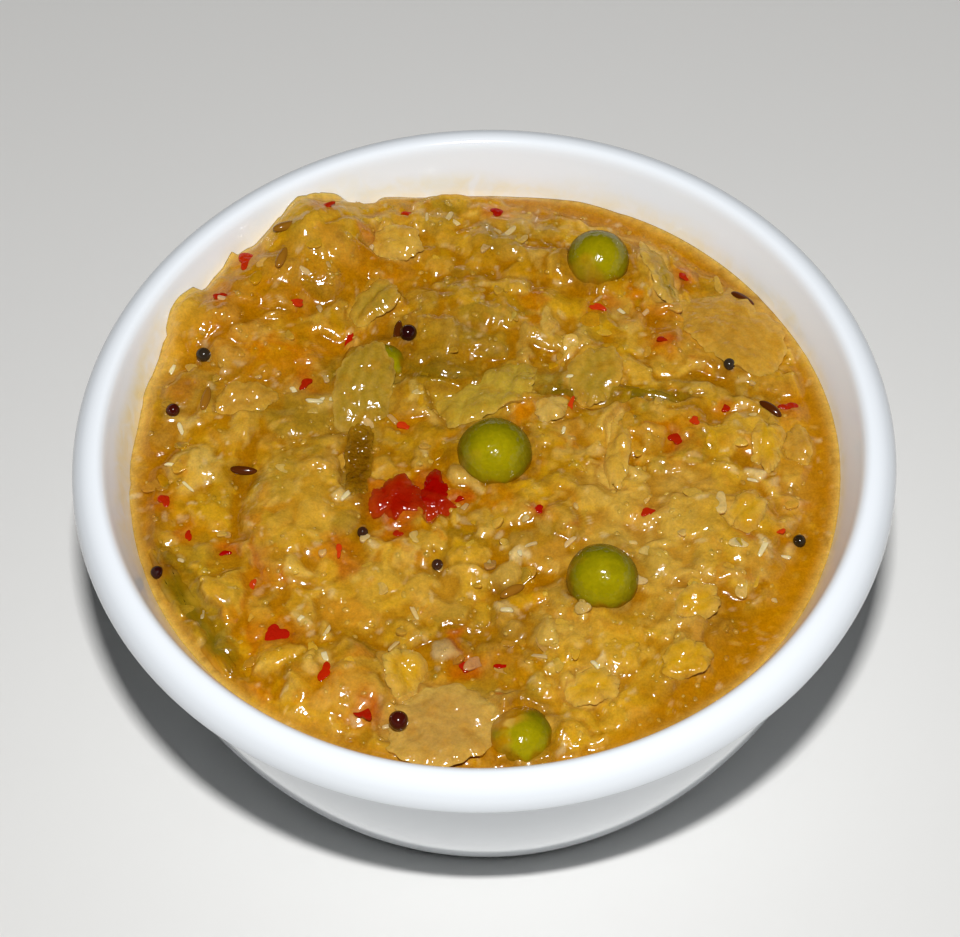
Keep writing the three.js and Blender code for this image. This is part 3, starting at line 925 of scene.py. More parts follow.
@dataclass(frozen=True)
class Mound:
    """A broad soft rise in the stew."""

    x: float
    y: float
    long: float
    wide: float
    turn: float
    rise: float


@dataclass(frozen=True)
class Pea:
    """A pea: where it lies, its radius and how far its middle stands over the stew."""

    x: float
    y: float
    radius: float
    lift: float


@dataclass(frozen=True)
class Sheet:
    """A thin wavy leaf or skin: its place, half sizes, turn, pitch, roll, lift, bow and frill."""

    x: float
    y: float
    long: float
    wide: float
    turn: float
    pitch: float
    roll: float
    lift: float
    bow: float
    frill: float

    def phases(self) -> list[float]:
        """Draws the three phases of the sheet's outline as the CAD model does.

        Returns:
            Three angles in radians.
        """
        state = int(abs(self.x * 131 + self.y * 17) + self.long * 1009 + 0.5)
        found = []
        for _ in range(3):
            state = (state * 1664525 + 1013904223) % 4294967296
            found.append(state / 4294967296 * tau)
        return found

    def outline(self, angle: Array) -> Array:
        """Works out how far the lobed edge stands out.

        Args:
            angle: Directions from the sheet's middle.

        Returns:
            The reach in each direction, as a share of the half sizes.
        """
        first, second, third = self.phases()
        lobes = 0.8 * np.cos(3 * angle + second) + 0.7 * np.cos(4 * angle + third)
        lobes = lobes + 0.6 * np.cos(7 * angle + first)
        return 1 + 0.08 * np.cos(2 * angle + first) + self.frill * lobes

    def to_local(self, x: Array, y: Array) -> tuple[Array, Array]:
        """Turns points of the stew into the sheet's own length and width."""
        return along_across(x - self.x, y - self.y, radians(self.turn))


MOUNDS = (
    Mound(-22.5, -7, 10.5, 7.5, 80, 1.9), Mound(27, -13, 10, 8, 70, 1.5), Mound(0, 22, 12, 6, 8, 1.5),
    Mound(-22, 31, 13, 7, 35, 2.1), Mound(-33, 20, 8, 5.5, 75, 1.4), Mound(-32.5, -18.5, 5.5, 3.8, 80, 1.2),
    Mound(-19, -30, 9, 6, -25, 1.5), Mound(9, -27, 9, 6.5, 15, 1.2), Mound(23, -28, 7, 5.5, 40, 1.1),
    Mound(-33, 5, 6.5, 4.5, 60, 1.1), Mound(-2, -12, 9, 6, -30, 0.9), Mound(21, 6, 9, 5, 20, 1.1),
    Mound(5, 33, 8, 5, -10, 1.0), Mound(28, 20, 8, 6.5, 60, 1.0), Mound(8, -8, 7, 5, 50, 0.9),
    Mound(-8, 12, 8, 5, 30, 1.1),
)

PEAS = (
    Pea(15.4, 30.9, 4.1, 0.7), Pea(1.3, 1.0, 4.6, 0.5), Pea(13.6, -17.8, 4.35, 0.6),
    Pea(3.2, -38.2, 4.2, -1.3), Pea(-12.0, 15.8, 3.3, -0.95),
)

# Stew that clings to a pea: the way it lies from the middle, where it starts and its strength.
PEA_VEILS: dict[int, Rows] = {
    1: ((-0.5, -0.8, 0.2, 0.62, 0.6),),
    2: ((-0.75, -0.6, 0.25, 0.8, 0.6),),
    3: ((-0.95, 0.1, 0.25, 0.72, 0.6),),
    4: ((-0.35, 0.7, 0.62, 0.5, 0.9), (-0.9, -0.2, 0.3, 0.6, 0.7)),
}

CABBAGE = (
    Sheet(-14.3, 11.4, 6.0, 3.6, 78, 16, 3, 1.7, 0.4, 0.06),
    Sheet(1.6, 10.2, 7.2, 3.0, 24, 6, -14, 1.0, 0.8, 0.08),
    Sheet(14.2, 12.4, 4.3, 3.2, 75, 12, 0, 1.1, 0.5, 0.05),
    Sheet(31.2, 19.0, 6.8, 5.6, 130, -4, 6, 0.7, 0.9, 0.07),
    Sheet(-6.4, -36.3, 7.0, 4.3, -6, 3, 2, 1.1, 0.7, 0.03),
    Sheet(-10.5, -29.6, 3.2, 2.2, 110, 22, 10, 1.2, 0.6, 0.08),
    Sheet(-10.5, 33.6, 3.3, 2.3, -25, 8, 16, 0.9, 0.5, 0.06),
    Sheet(-13.2, 24.4, 3.3, 2.4, 40, 14, -10, 0.9, 0.3, 0.10),
    Sheet(-29.5, 10.3, 3.4, 2.3, 10, 5, 12, 0.8, 0.4, 0.06),
    Sheet(23.4, 28.2, 5.6, 1.5, 105, 0, 30, 1.0, 0.6, 0.05),
    Sheet(16.4, 1.2, 5.3, 1.4, 84, 0, -20, 0.8, 0.5, 0.05),
    Sheet(34.8, 1.4, 3.6, 1.7, 84, 3, 8, 0.8, 0.4, 0.10),
    Sheet(38.5, 1.4, 2.8, 1.4, 98, 0, -16, 0.7, 0.3, 0.05),
    Sheet(31.5, -9.2, 2.5, 1.9, 60, 12, 0, 1.0, 0.5, 0.10),
    Sheet(24.6, -21.6, 2.8, 1.9, 20, 10, 10, 0.9, 0.5, 0.10),
    Sheet(22.8, -29.6, 3.2, 1.9, 30, 6, 12, 0.9, 0.6, 0.10),
    Sheet(11.6, -32.6, 3.0, 2.1, 10, 6, 8, 0.8, 0.6, 0.10),
    Sheet(8.4, 7.6, 2.0, 1.6, 15, 8, 0, 0.9, 0.3, 0.10),
)

CABBAGE_TONES = (
    (Tone.GREENISH, Tone.GREENISH), (Tone.LEAF, Tone.LEAF), (Tone.GREENISH, Tone.PALE),
    (Tone.PINK, Tone.PALE), (Tone.TAN, Tone.CREAM), (Tone.YELLOW, Tone.CREAM), (Tone.PALE, Tone.CREAM),
    (Tone.GREENISH, Tone.PALE), (Tone.PINK, Tone.PALE), (Tone.GREENISH, Tone.CREAM),
    (Tone.PALE, Tone.CREAM), (Tone.YELLOW, Tone.CREAM), (Tone.PINK, Tone.PALE), (Tone.YELLOW, Tone.CREAM),
    (Tone.YELLOW, Tone.CREAM), (Tone.YELLOW, Tone.PALE), (Tone.YELLOW, Tone.CREAM),
    (Tone.CREAM, Tone.CREAM),
)

RED_CHILLI = (
    Sheet(-11.4, -5.3, 3.3, 3.1, 20, 6, 4, 1.2, 0.5, 0.12),
    Sheet(-6.1, -4.9, 3.7, 2.3, 100, 4, -8, 1.2, 0.5, 0.12),
)
GREEN_CHILLI = Sheet(-15.3, -0.4, 4.9, 1.8, 86, -3, 0, 0.8, -0.7, 0.05)
CURRY_LEAVES = (
    Sheet(-34.6, -19.6, 11, 1.3, -61, 0, 10, 0.5, 0.1, 0.03),
    Sheet(16.4, 9.6, 9.4, 1.1, -8, 0, 26, 0.5, 0.1, 0.03),
)

MUSTARD_SEEDS = (
    (-34.4, 16.2, 0.92), (-38.2, 9.1, 0.86), (-39.6, -14.0, 0.84), (-6.0, -14.9, 0.70), (37.6, -12.5, 0.80),
    (30.9, 13.2, 0.75), (-10.9, -36.6, 1.18), (-8.9, 19.2, 1.10), (-14.9, -9.6, 0.70),
)
CUMIN_SEEDS = (
    (33.4, 24.4, -35), (35.6, 6.9, -40), (-29.4, 0.4, -10), (-10.2, 20.2, 85), (-24.2, 34.3, 20),
    (-24.6, 29.1, 70), (-34.1, 10.2, 80), (2.8, -18.9, 30),
)
CHILLI_FLAKES = (
    (-29.2, 30.4, 2.8, 2.2, 70), (-32.4, 24.4, 2.0, 1.1, -30), (-22.9, 24.0, 2.3, 0.9, 5),
    (-18.8, 37.6, 2.0, 0.7, 10), (-8.7, 38.6, 1.4, 0.8, 0), (2.8, 39.0, 1.9, 1.1, 10),
    (15.1, 23.5, 2.2, 1.0, -30), (26.2, 28.0, 1.6, 1.0, -40), (-16.3, 19.6, 2.4, 1.2, 75),
    (-21.8, 12.6, 1.9, 1.1, 30), (-9.7, 6.0, 1.9, 1.1, -10), (-39.0, -3.6, 1.8, 1.4, 80),
    (-36.0, -8.7, 1.7, 0.8, 80), (-31.5, -11.5, 1.3, 0.8, 10), (-28.1, -16.5, 1.6, 0.8, 60),
    (-25.3, -23.8, 3.6, 2.3, 60), (-19.4, -29.8, 2.3, 1.5, 80), (-3.1, -5.5, 1.2, 0.7, 0),
    (11.0, 8.2, 2.0, 0.8, 75), (6.4, -7.8, 1.4, 1.0, 0), (19.6, -8.4, 1.7, 1.5, 10),
    (23.6, 2.5, 1.9, 1.4, 20), (26.0, 4.7, 1.5, 1.0, 0), (38.0, 7.3, 2.4, 1.2, -10),
    (30.1, 7.1, 1.4, 0.9, 30), (22.9, 17.4, 1.5, 0.8, 0), (35.4, -11.6, 1.0, 0.8, 0),
    (-2.8, -28.6, 2.2, 1.4, 40), (1.2, -29.1, 1.7, 0.7, 5), (-15.0, -35.2, 2.4, 1.6, -60),
    (-17.7, -12.8, 1.7, 0.8, 80), (-10.7, -9.9, 1.3, 0.8, 20),
)


COCONUT_BITS = (
    (18.1, 22.9), (11.4, 12.6), (9.9, 4.3), (-20.0, 9.9), (-18.5, 10.3), (-23.3, 11.8), (-20.7, 9.8),
    (-38.4, 15.6), (-38.5, 1.3), (-36.2, -1.8), (-37.2, 6.7), (-16.9, -4.9), (-22.3, -21.7),
    (-19.4, -27.6), (32.5, -3.7), (32.9, -14.7), (35.7, -14.8), (3.9, -13.9), (2.1, -21.8),
    (12.2, -29.8), (11.5, -22.0),
)

# The edges of the pieces that show best, as pixels round each: cabbage by number, then skins.
SEEN_EDGES: dict[str, Rows] = {
    "cabbage_1": (
        (378, 338), (354, 350), (338, 369), (336, 386), (332, 410), (338, 430), (360, 431),
        (384, 427), (388, 400), (393, 377), (390, 358),
    ),
    "cabbage_2": (
        (432, 402), (448, 388), (470, 380), (490, 370), (508, 358), (524, 350), (533, 362),
        (530, 385), (518, 400), (496, 408), (470, 420), (446, 424), (434, 416),
    ),
    "cabbage_3": (
        (569, 366), (586, 351), (602, 346), (615, 345), (621, 362), (621, 378), (611, 393),
        (596, 402), (581, 403), (572, 388),
    ),
    "cabbage_4": (
        (680, 288), (704, 282), (728, 282), (744, 298), (756, 312), (782, 322), (786, 342),
        (781, 361), (754, 370), (730, 362), (707, 348), (690, 332), (682, 312),
    ),
    "cabbage_5": (
        (388, 746), (392, 722), (404, 701), (428, 690), (455, 684), (478, 692), (496, 710),
        (500, 730), (488, 748), (462, 762), (430, 768), (402, 764),
    ),
    "cabbage_6": (
        (386, 655), (398, 648), (414, 652), (430, 660), (438, 672), (424, 684), (412, 697),
        (397, 697), (387, 680),
    ),
    "red_chilli_1": (
        (366, 500), (372, 486), (380, 488), (390, 476), (404, 471), (410, 480), (421, 484),
        (426, 498), (424, 512), (404, 510), (395, 518), (384, 510), (373, 514),
    ),
    "red_chilli_2": (
        (423, 480), (430, 470), (438, 466), (441, 480), (448, 486), (446, 498), (458, 506),
        (454, 517), (438, 513), (430, 519), (417, 514), (417, 500),
    ),
    "green_chilli": (
        (351, 430), (363, 428), (373, 432), (374, 452), (370, 474), (366, 492), (354, 497),
        (345, 490), (347, 468), (346, 446),
    ),
}


# --- Lumps, patches and creases seen in the photograph ---


@dataclass(frozen=True)
class Crease:
    """A groove or a thread along a few pixels: its half width, depth, tone and strength."""

    pixels: Rows
    half_width: float
    depth: float
    tone: Tone
    strength: float


# Lumps that show: column, row, half length, half width, turn and rise.
LUMPS: dict[Tone, Rows] = {
    Tone.YELLOW: (
        (294, 224, 4.6, 3.6, 20, 0.9), (330, 212, 3.6, 2.4, 0, 0.6), (182, 311, 1.9, 4.2, -10, 1.0),
        (171, 354, 1.8, 1.5, 0, 0.7), (143, 416, 1.2, 2.2, 0, 0.8), (353, 236, 2.2, 1.5, 30, 0.4),
        (450, 208, 2.4, 1.4, 0, 0.4), (560, 268, 2.0, 2.0, 0, 0.8), (571, 309, 2.4, 1.8, 0, 0.6),
        (605, 331, 3.4, 1.1, 4, 0.6), (647, 283, 1.3, 3.4, 8, 0.7), (700, 262, 2.6, 1.6, -35, 0.5),
        (782, 326, 1.1, 1.1, 0, 0.7), (735, 403, 2.2, 1.3, 10, 0.6), (719, 437, 4.8, 2.1, 14, 0.8),
        (696, 656, 2.6, 1.6, 10, 0.8), (697, 675, 2.4, 1.6, 0, 0.7), (700, 520, 4.6, 3.4, 30, 0.6),
        (569, 486, 1.0, 1.8, 20, 0.6), (535, 603, 2.6, 1.6, 8, 0.7), (463, 552, 2.2, 2.1, 0, 0.8),
        (473, 586, 3.6, 2.8, -35, 0.9), (400, 445, 2.2, 1.6, 0, 0.5), (213, 512, 3.0, 2.2, -25, 0.7),
        (196, 570, 1.8, 1.4, -25, 0.8), (212, 594, 2.1, 2.6, 10, 0.9), (238, 586, 1.5, 2.3, 20, 0.8),
        (278, 557, 1.5, 1.2, 0, 0.6), (155, 598, 0.9, 2.8, 25, 0.5), (277, 660, 3.2, 1.7, 25, 0.8),
        (294, 700, 1.8, 3.0, 15, 0.9), (316, 716, 2.2, 1.1, 0, 0.7), (408, 638, 3.8, 1.8, 14, 0.7),
        (546, 634, 2.2, 1.6, 0, 0.5), (641, 697, 3.6, 2.4, 30, 0.5), (586, 690, 2.2, 1.1, 0, 0.5),
    ),
    Tone.PALE: (
        (268, 331, 4.4, 1.9, 22, 0.7), (312, 325, 3.0, 2.2, 10, 0.6), (350, 318, 2.3, 2.3, 0, 0.8),
        (247, 428, 2.1, 2.1, 0, 0.8), (320, 424, 2.6, 2.0, 0, 0.5), (390, 229, 3.2, 1.8, -12, 0.6),
        (513, 225, 2.7, 2.5, 0, 0.7), (477, 218, 3.8, 1.8, 0, 0.6), (556, 230, 2.9, 1.5, 15, 0.6),
        (457, 249, 2.6, 1.9, -30, 0.6), (508, 254, 1.6, 1.4, 0, 0.5), (440, 268, 2.0, 1.4, 20, 0.5),
        (511, 284, 2.3, 2.3, 0, 0.8), (560, 290, 2.4, 1.2, 25, 0.4), (415, 300, 2.6, 1.4, 10, 0.4),
        (545, 338, 3.4, 1.5, -8, 0.7), (480, 357, 1.5, 1.1, 0, 0.5), (635, 345, 1.1, 2.6, 18, 0.6),
        (636, 373, 2.6, 1.2, -50, 0.7), (668, 367, 3.0, 1.7, -12, 0.7), (769, 322, 1.5, 1.2, 0, 0.5),
        (712, 396, 3.2, 1.4, -12, 0.5), (676, 411, 3.0, 1.5, -12, 0.5), (795, 483, 1.2, 1.2, 0, 0.7),
        (774, 489, 1.3, 1.4, 0, 0.7), (778, 528, 1.3, 1.5, 0, 0.9), (779, 591, 1.7, 0.8, 40, 0.5),
        (748, 592, 3.0, 1.3, 10, 0.4), (622, 498, 3.4, 3.6, 20, 0.6), (605, 530, 2.2, 1.5, 0, 0.5),
        (575, 628, 2.0, 1.5, 0, 0.4), (514, 515, 2.8, 2.4, 0, 0.8), (486, 524, 1.4, 2.0, -30, 0.6),
        (430, 542, 2.6, 1.2, 0, 0.6), (424, 460, 1.5, 2.2, -20, 0.7), (192, 464, 4.2, 1.8, 6, 0.5),
        (193, 594, 1.4, 1.7, 0, 0.6), (372, 578, 3.4, 3.2, 0, 0.8), (318, 520, 2.8, 4.6, 0, 0.5),
        (360, 672, 3.6, 1.7, 0, 0.8), (354, 698, 3.2, 2.4, 20, 0.9), (624, 640, 3.2, 2.6, 20, 0.5),
        (568, 746, 2.2, 0.9, 8, 0.5), (600, 742, 1.8, 0.9, 10, 0.4), (620, 722, 1.7, 1.2, 0, 0.5),
    ),
    Tone.ORANGE: (
        (280, 352, 5.2, 2.6, 8, 0.5), (235, 375, 2.6, 1.6, 25, 0.5), (372, 262, 5.5, 2.2, -14, 0.5),
        (541, 300, 3.0, 2.2, 0, 0.5), (530, 320, 2.2, 1.2, 0, 0.4), (628, 292, 2.2, 1.6, 0, 0.4),
        (662, 345, 3.4, 2.7, -15, 0.6), (755, 354, 2.8, 2.6, 0, 0.7), (703, 632, 1.2, 2.2, 0, 0.5),
        (228, 616, 2.6, 1.5, 0, 0.5), (258, 561, 1.4, 1.2, 0, 0.5), (262, 590, 2.4, 2.6, 0, 0.4),
        (348, 618, 4.0, 2.0, 0, 0.5), (272, 520, 3.4, 4.0, -10, 0.4), (256, 694, 2.2, 1.1, -25, 0.5),
        (555, 700, 1.6, 1.2, 0, 0.4),
    ),
    Tone.CREAM: (
        (185, 424, 2.6, 1.3, -20, 0.6), (325, 402, 1.8, 0.8, -10, 0.5), (388, 246, 4.2, 1.4, -22, 0.8),
        (476, 262, 1.3, 1.0, 0, 0.4), (526, 256, 1.5, 1.2, 0, 0.6), (525, 360, 1.0, 2.2, -12, 0.7),
        (416, 395, 1.6, 1.2, 0, 0.5), (532, 423, 1.1, 1.4, 0, 0.5), (641, 473, 1.2, 1.0, 30, 0.6),
        (656, 545, 2.2, 0.8, 10, 0.5), (700, 604, 1.7, 1.1, -38, 0.8), (662, 601, 1.2, 0.6, -35, 0.4),
        (636, 654, 2.4, 1.1, -20, 0.5), (585, 611, 0.7, 1.6, 0, 0.6), (545, 630, 2.0, 2.0, 0, 0.8),
        (470, 484, 2.1, 1.9, -20, 0.9), (404, 564, 1.2, 2.6, -5, 0.7), (174, 464, 1.7, 0.4, 8, 0.4),
        (189, 485, 1.5, 0.8, 25, 0.4), (173, 541, 1.7, 1.2, 10, 0.6), (294, 567, 1.6, 1.4, 0, 0.8),
        (272, 588, 0.5, 1.9, 3, 0.4), (380, 556, 2.2, 1.1, 15, 0.6), (310, 663, 0.9, 1.8, -10, 0.6),
        (326, 656, 1.1, 0.8, -40, 0.5), (322, 694, 1.0, 0.8, 0, 0.7), (373, 693, 1.0, 0.8, 0, 0.6),
        (437, 618, 1.7, 0.9, 0, 0.5), (554, 669, 1.5, 0.8, 15, 0.5), (506, 702, 1.5, 1.4, 0, 0.7),
    ),
    Tone.GREENISH: (
        (298, 417, 4.6, 2.8, 25, 0.8), (466, 283, 4.4, 2.0, 2, 0.8), (475, 316, 3.3, 2.2, 0, 0.5),
        (466, 344, 3.0, 2.6, 0, 0.6), (499, 356, 2.2, 1.5, 20, 0.7), (717, 352, 2.6, 2.6, 0, -0.4),
        (763, 419, 1.2, 1.0, 0, 0.6), (650, 564, 1.9, 1.9, 0, 0.7), (740, 505, 2.4, 1.8, 0, 0.4),
        (311, 449, 3.4, 1.8, 0, 0.7), (285, 480, 4.6, 3.0, 30, 0.5), (531, 692, 1.1, 2.4, -20, 0.7),
    ),
    Tone.PINK: (
        (215, 355, 2.2, 1.5, 20, 0.4), (402, 409, 2.7, 1.3, -14, 0.6), (526, 402, 1.4, 3.0, 5, 0.6),
        (612, 285, 3.4, 1.6, -10, 0.4), (677, 262, 2.4, 1.8, -40, 0.4), (772, 383, 3.6, 2.0, -20, 0.4),
        (771, 508, 1.0, 1.4, 0, 0.5), (680, 577, 2.2, 1.1, 0, 0.5), (668, 616, 4.2, 3.2, -5, 0.8),
        (735, 556, 3.8, 5.2, 10, 0.6), (544, 552, 3.4, 2.6, -30, 0.4), (237, 556, 1.6, 1.2, 0, 0.7),
        (345, 590, 2.2, 2.2, 0, 0.4), (310, 585, 2.4, 2.4, 0, 0.4), (268, 447, 1.7, 1.7, 0, 0.6),
        (343, 645, 1.5, 0.5, 10, 0.3), (388, 612, 1.5, 0.9, 0, 0.3),
    ),
    Tone.MASH: (
        (432, 340, 2.8, 3.6, 0, 0.9), (650, 424, 3.3, 2.1, 0, 0.6), (561, 520, 2.3, 2.1, 0, 0.8),
        (440, 500, 1.8, 1.6, 0, 0.4), (208, 494, 2.6, 1.3, -10, 0.4),
    ),
    Tone.WHITE: (
        (751, 477, 2.1, 1.0, -38, 0.8), (762, 553, 0.9, 1.8, -4, 0.8), (786, 554, 0.6, 1.5, -14, 0.6),
        (521, 557, 0.9, 1.4, -15, 0.6), (506, 612, 1.5, 1.1, 30, 0.8), (301, 618, 0.9, 1.7, -8, 0.6),
        (345, 499, 1.0, 0.9, 0, 0.6), (445, 652, 1.8, 1.2, 15, 0.8), (597, 669, 0.6, 1.9, -14, 0.6),
    ),
    Tone.OCHRE: (
        (199, 527, 2.2, 1.8, 0, 0.3), (470, 640, 3.6, 2.4, 0, -0.3), (502, 652, 3.4, 2.6, 0, -0.3),
    ),
}

# Soft changes of tone: column, row, half length, half width, turn and strength.
PATCHES: dict[Tone, Rows] = {
    Tone.DEEP_GRAVY: (
        (150, 500, 2.6, 13, -4, 0.85),
    ),
    Tone.GRAVY: (
        (812, 455, 3.2, 13, 4, 0.5), (800, 560, 4.0, 9, -18, 0.5), (745, 655, 9.0, 3.4, 38, 0.7),
        (260, 632, 3.0, 3.0, 0, 0.4),
        (250, 300, 8.0, 4.0, 30, 0.5), (340, 270, 9.0, 3.0, -5, 0.6), (700, 232, 9.0, 2.4, -33, 0.6),
        (610, 214, 9.0, 2.0, -10, 0.8), (480, 270, 9.0, 2.6, 0, 0.35),
    ),
    Tone.OCHRE: (
        (722, 625, 3.4, 2.8, 0, 0.7), (672, 686, 3.0, 2.4, 0, 0.5), (560, 250, 6.0, 1.6, -20, 0.45),
        (720, 350, 3.0, 2.6, 0, 0.5), (470, 645, 7.0, 3.4, 0, 0.55), (586, 492, 2.2, 1.0, 60, 0.4),
    ),
    Tone.ORANGE: (
        (205, 330, 7.5, 4.0, 25, 0.6), (290, 370, 8.0, 3.4, 10, 0.65), (690, 330, 6.5, 2.4, -45, 0.75),
        (330, 690, 4.0, 3.0, 0, 0.4),
    ),
    Tone.RUST: (
        (672, 324, 5.0, 1.8, -35, 0.22), (380, 716, 2.6, 1.2, -40, 0.65), (470, 672, 2.6, 1.2, 0, 0.3),
        (400, 515, 5.0, 1.4, 0, 0.45), (345, 552, 1.2, 2.4, 10, 0.6), (342, 574, 0.8, 1.6, 20, 0.7),
        (258, 575, 1.6, 3.0, 0, 0.4), (186, 532, 0.9, 1.6, 10, 0.7), (164, 577, 1.6, 1.0, 0, 0.6),
        (188, 392, 2.2, 1.0, 10, 0.5), (614, 307, 1.6, 1.0, -25, 0.4), (365, 233, 1.0, 0.7, 0, 0.6),
        (537, 513, 1.3, 1.0, 0, 0.6), (573, 402, 0.8, 1.6, 10, 0.6), (726, 407, 0.9, 0.8, 0, 0.6),
        (664, 343, 0.7, 0.6, 0, 0.6), (693, 359, 0.6, 0.6, 0, 0.6), (806, 507, 0.9, 0.7, 0, 0.4),
        (747, 540, 0.9, 0.7, 0, 0.6), (458, 640, 0.6, 1.8, -12, 0.7), (499, 700, 0.5, 0.5, 0, 0.7),
    ),
    Tone.OLIVE: (
        (460, 375, 7.5, 2.2, -6, 0.42), (415, 372, 3.6, 2.2, 0, 0.35), (560, 395, 3.4, 3.2, 0, 0.35),
        (430, 378, 3.8, 1.4, -8, 0.7), (553, 382, 3.2, 1.6, 0, 0.7), (330, 372, 1.6, 2.2, 30, 0.5),
        (160, 575, 1.4, 4.0, 22, 0.45), (178, 606, 1.2, 3.4, 28, 0.45), (212, 650, 4.2, 1.2, -42, 0.45),
    ),
    Tone.GREENISH: (
        (340, 385, 3.6, 3.0, 0, 0.5), (205, 560, 9.0, 3.2, -30, 0.3),
    ),
    Tone.PALE: (
        (690, 520, 8.5, 7.5, 20, 0.45), (760, 425, 6.0, 4.2, 0, 0.45), (765, 322, 4.5, 3.6, -30, 0.45),
        (365, 600, 8.0, 5.5, 0, 0.4), (300, 490, 5.0, 8.0, 0, 0.4), (600, 700, 7.0, 4.5, 0, 0.3),
        (470, 590, 4.0, 3.0, -30, 0.3), (600, 500, 5.0, 4.0, 0, 0.3), (195, 300, 3.0, 4.4, 0, 0.5),
        (800, 330, 2.4, 6.0, -20, 0.4), (440, 584, 4.2, 3.2, 0, 0.5), (330, 212, 4.5, 2.2, 0, 0.6),
        (300, 208, 5.0, 2.0, 20, 0.5), (320, 728, 4.0, 2.6, 0, 0.4), (330, 250, 3.0, 2.0, 0, 0.3),
    ),
    # The cream patches are partly paler mash and partly painted light.
    Tone.CREAM: (
        (650, 535, 6.5, 4.6, 0, 0.4), (680, 490, 5.0, 3.4, 0, 0.35), (680, 632, 4.4, 3.0, 0, 0.35),
        (795, 500, 2.4, 4.0, 0, 0.35), (300, 205, 4.0, 1.6, 0, 0.45), (610, 500, 3.4, 3.0, 0, 0.3),
        (675, 584, 4.0, 2.6, 0, 0.35), (560, 632, 3.4, 2.6, 0, 0.35), (590, 684, 4.4, 2.4, 0, 0.3),
    ),
    # The yellow patches are partly paler mash and partly painted light.
    Tone.YELLOW: (
        (600, 705, 7.0, 4.5, 0, 0.4), (315, 215, 8.5, 3.2, 20, 0.55), (205, 510, 5.0, 4.0, 0, 0.3),
        (215, 590, 3.4, 4.4, 0, 0.45), (640, 650, 5.0, 4.0, 0, 0.35), (180, 330, 3.0, 6.0, -15, 0.4),
    ),
    # The dim patches are painted shade in the valleys.
    Tone.DIM: (
        (420, 365, 7.0, 4.0, 0, 0.35),
        (480, 345, 9.0, 4.4, 0, 0.5), (300, 418, 5.0, 3.0, 20, 0.5), (415, 300, 7.0, 2.0, 0, 0.3),
        (380, 440, 8.0, 4.0, 0, 0.4), (520, 225, 6.0, 2.4, 0, 0.3), (560, 420, 3.0, 3.0, 0, 0.4),
        (505, 640, 6.0, 3.0, 0, 0.35), (250, 400, 5.0, 2.6, 20, 0.3), (230, 392, 10.0, 3.2, 0, 0.4),
        (320, 296, 4.0, 2.4, 0, 0.45), (500, 250, 4.0, 2.4, 0, 0.45), (740, 392, 4.0, 2.0, 0, 0.4),
        (440, 392, 3.0, 2.0, 0, 0.4), (180, 392, 4.0, 2.6, 0, 0.3), (505, 584, 3.0, 2.4, 0, 0.4),
        (530, 536, 4.0, 2.2, 0, 0.35), (740, 690, 3.4, 2.4, 0, 0.3), (675, 728, 3.4, 2.0, 0, 0.3),
    ),
    Tone.BROWN: (
        (509, 588, 1.5, 1.0, 20, 0.5), (360, 515, 1.2, 1.2, 0, 0.55), (437, 562, 1.3, 1.2, 0, 0.5),
    ),
}

# Grooves are painted a darker tone along them, partly gravy and partly painted shade; threads of negative
# depth are painted paler.
CREASES = (
    Crease(((257, 440), (246, 462), (241, 486), (237, 520), (240, 545)), 0.55, 0.7, Tone.OCHRE, 0.75),
    Crease(((205, 345), (250, 322), (300, 310), (345, 298), (372, 290)), 0.55, 0.6, Tone.BROWN, 0.45),
    Crease(((380, 296), (420, 286), (450, 276), (486, 274)), 0.35, 0.3, Tone.BROWN, 0.35),
    Crease(((250, 545), (256, 575), (252, 605), (256, 640), (250, 675)), 0.4, 0.35, Tone.RUST, 0.45),
    Crease(((276, 570), (284, 582), (292, 590)), 0.4, 0.3, Tone.RUST, 0.55),
    Crease(((338, 372), (330, 392), (318, 398)), 0.5, 0.5, Tone.OLIVE, 0.5),
    Crease(((385, 372), (420, 378), (460, 382), (500, 366)), 0.6, 0.6, Tone.OLIVE, 0.5),
    Crease(((700, 600), (708, 618), (713, 640), (710, 652)), 0.5, 0.7, Tone.BROWN, 0.55),
    Crease(((562, 528), (576, 522), (578, 508), (568, 496)), 0.4, 0.4, Tone.RUST, 0.35),
    Crease(((672, 412), (700, 410), (730, 414), (760, 420)), 0.4, 0.4, Tone.OCHRE, 0.5),
    Crease(((632, 300), (655, 318), (690, 335), (710, 352)), 0.5, 0.5, Tone.ORANGE, 0.6),
    Crease(((545, 245), (565, 252), (580, 246)), 0.4, 0.4, Tone.OCHRE, 0.5),
    Crease(((680, 585), (700, 592), (735, 600), (765, 590)), 0.5, 0.6, Tone.OCHRE, 0.5),
    Crease(((505, 600), (520, 620), (528, 650)), 0.45, 0.4, Tone.OCHRE, 0.35),
    Crease(((360, 640), (400, 656), (440, 640), (470, 612)), 0.45, 0.4, Tone.OCHRE, 0.4),
    Crease(((656, 262), (664, 285), (672, 305)), 0.4, -0.3, Tone.PALE, 0.5),
    Crease(((640, 460), (675, 462), (710, 468), (740, 476)), 0.3, -0.2, Tone.PALE, 0.45),
    Crease(((735, 548), (737, 570), (738, 586)), 0.3, -0.2, Tone.CREAM, 0.45),
    Crease(((175, 372), (183, 367)), 0.25, -0.25, Tone.CREAM, 0.8),
    Crease(((596, 470), (604, 466)), 0.25, -0.2, Tone.CREAM, 0.7),
)

RING_WIDTHS = (
    (-180, 2.6), (-160, 1.0), (-145, 0.8), (-130, 1.4), (-110, 1.8), (-90, 1.0), (-75, 1.4), (-62, 3.4),
    (-48, 5.4), (-30, 4.8), (-10, 4.4), (0, 4.4), (12, 2.6), (28, 1.0), (42, 2.2), (60, 3.0), (75, 2.6),
    (86, 1.6), (95, 0.9), (108, 0.4), (150, 0.4), (165, 0.9), (180, 2.6),
)

EDGE_LUMPS = (
    (119, 6, 1.7), (130, 4, -0.4), (148, 5, 2.0), (163, 4, 0.6), (140, 4, 0.2), (106, 5, 0.3),
)


# --- The surface of the stew as a raster ---


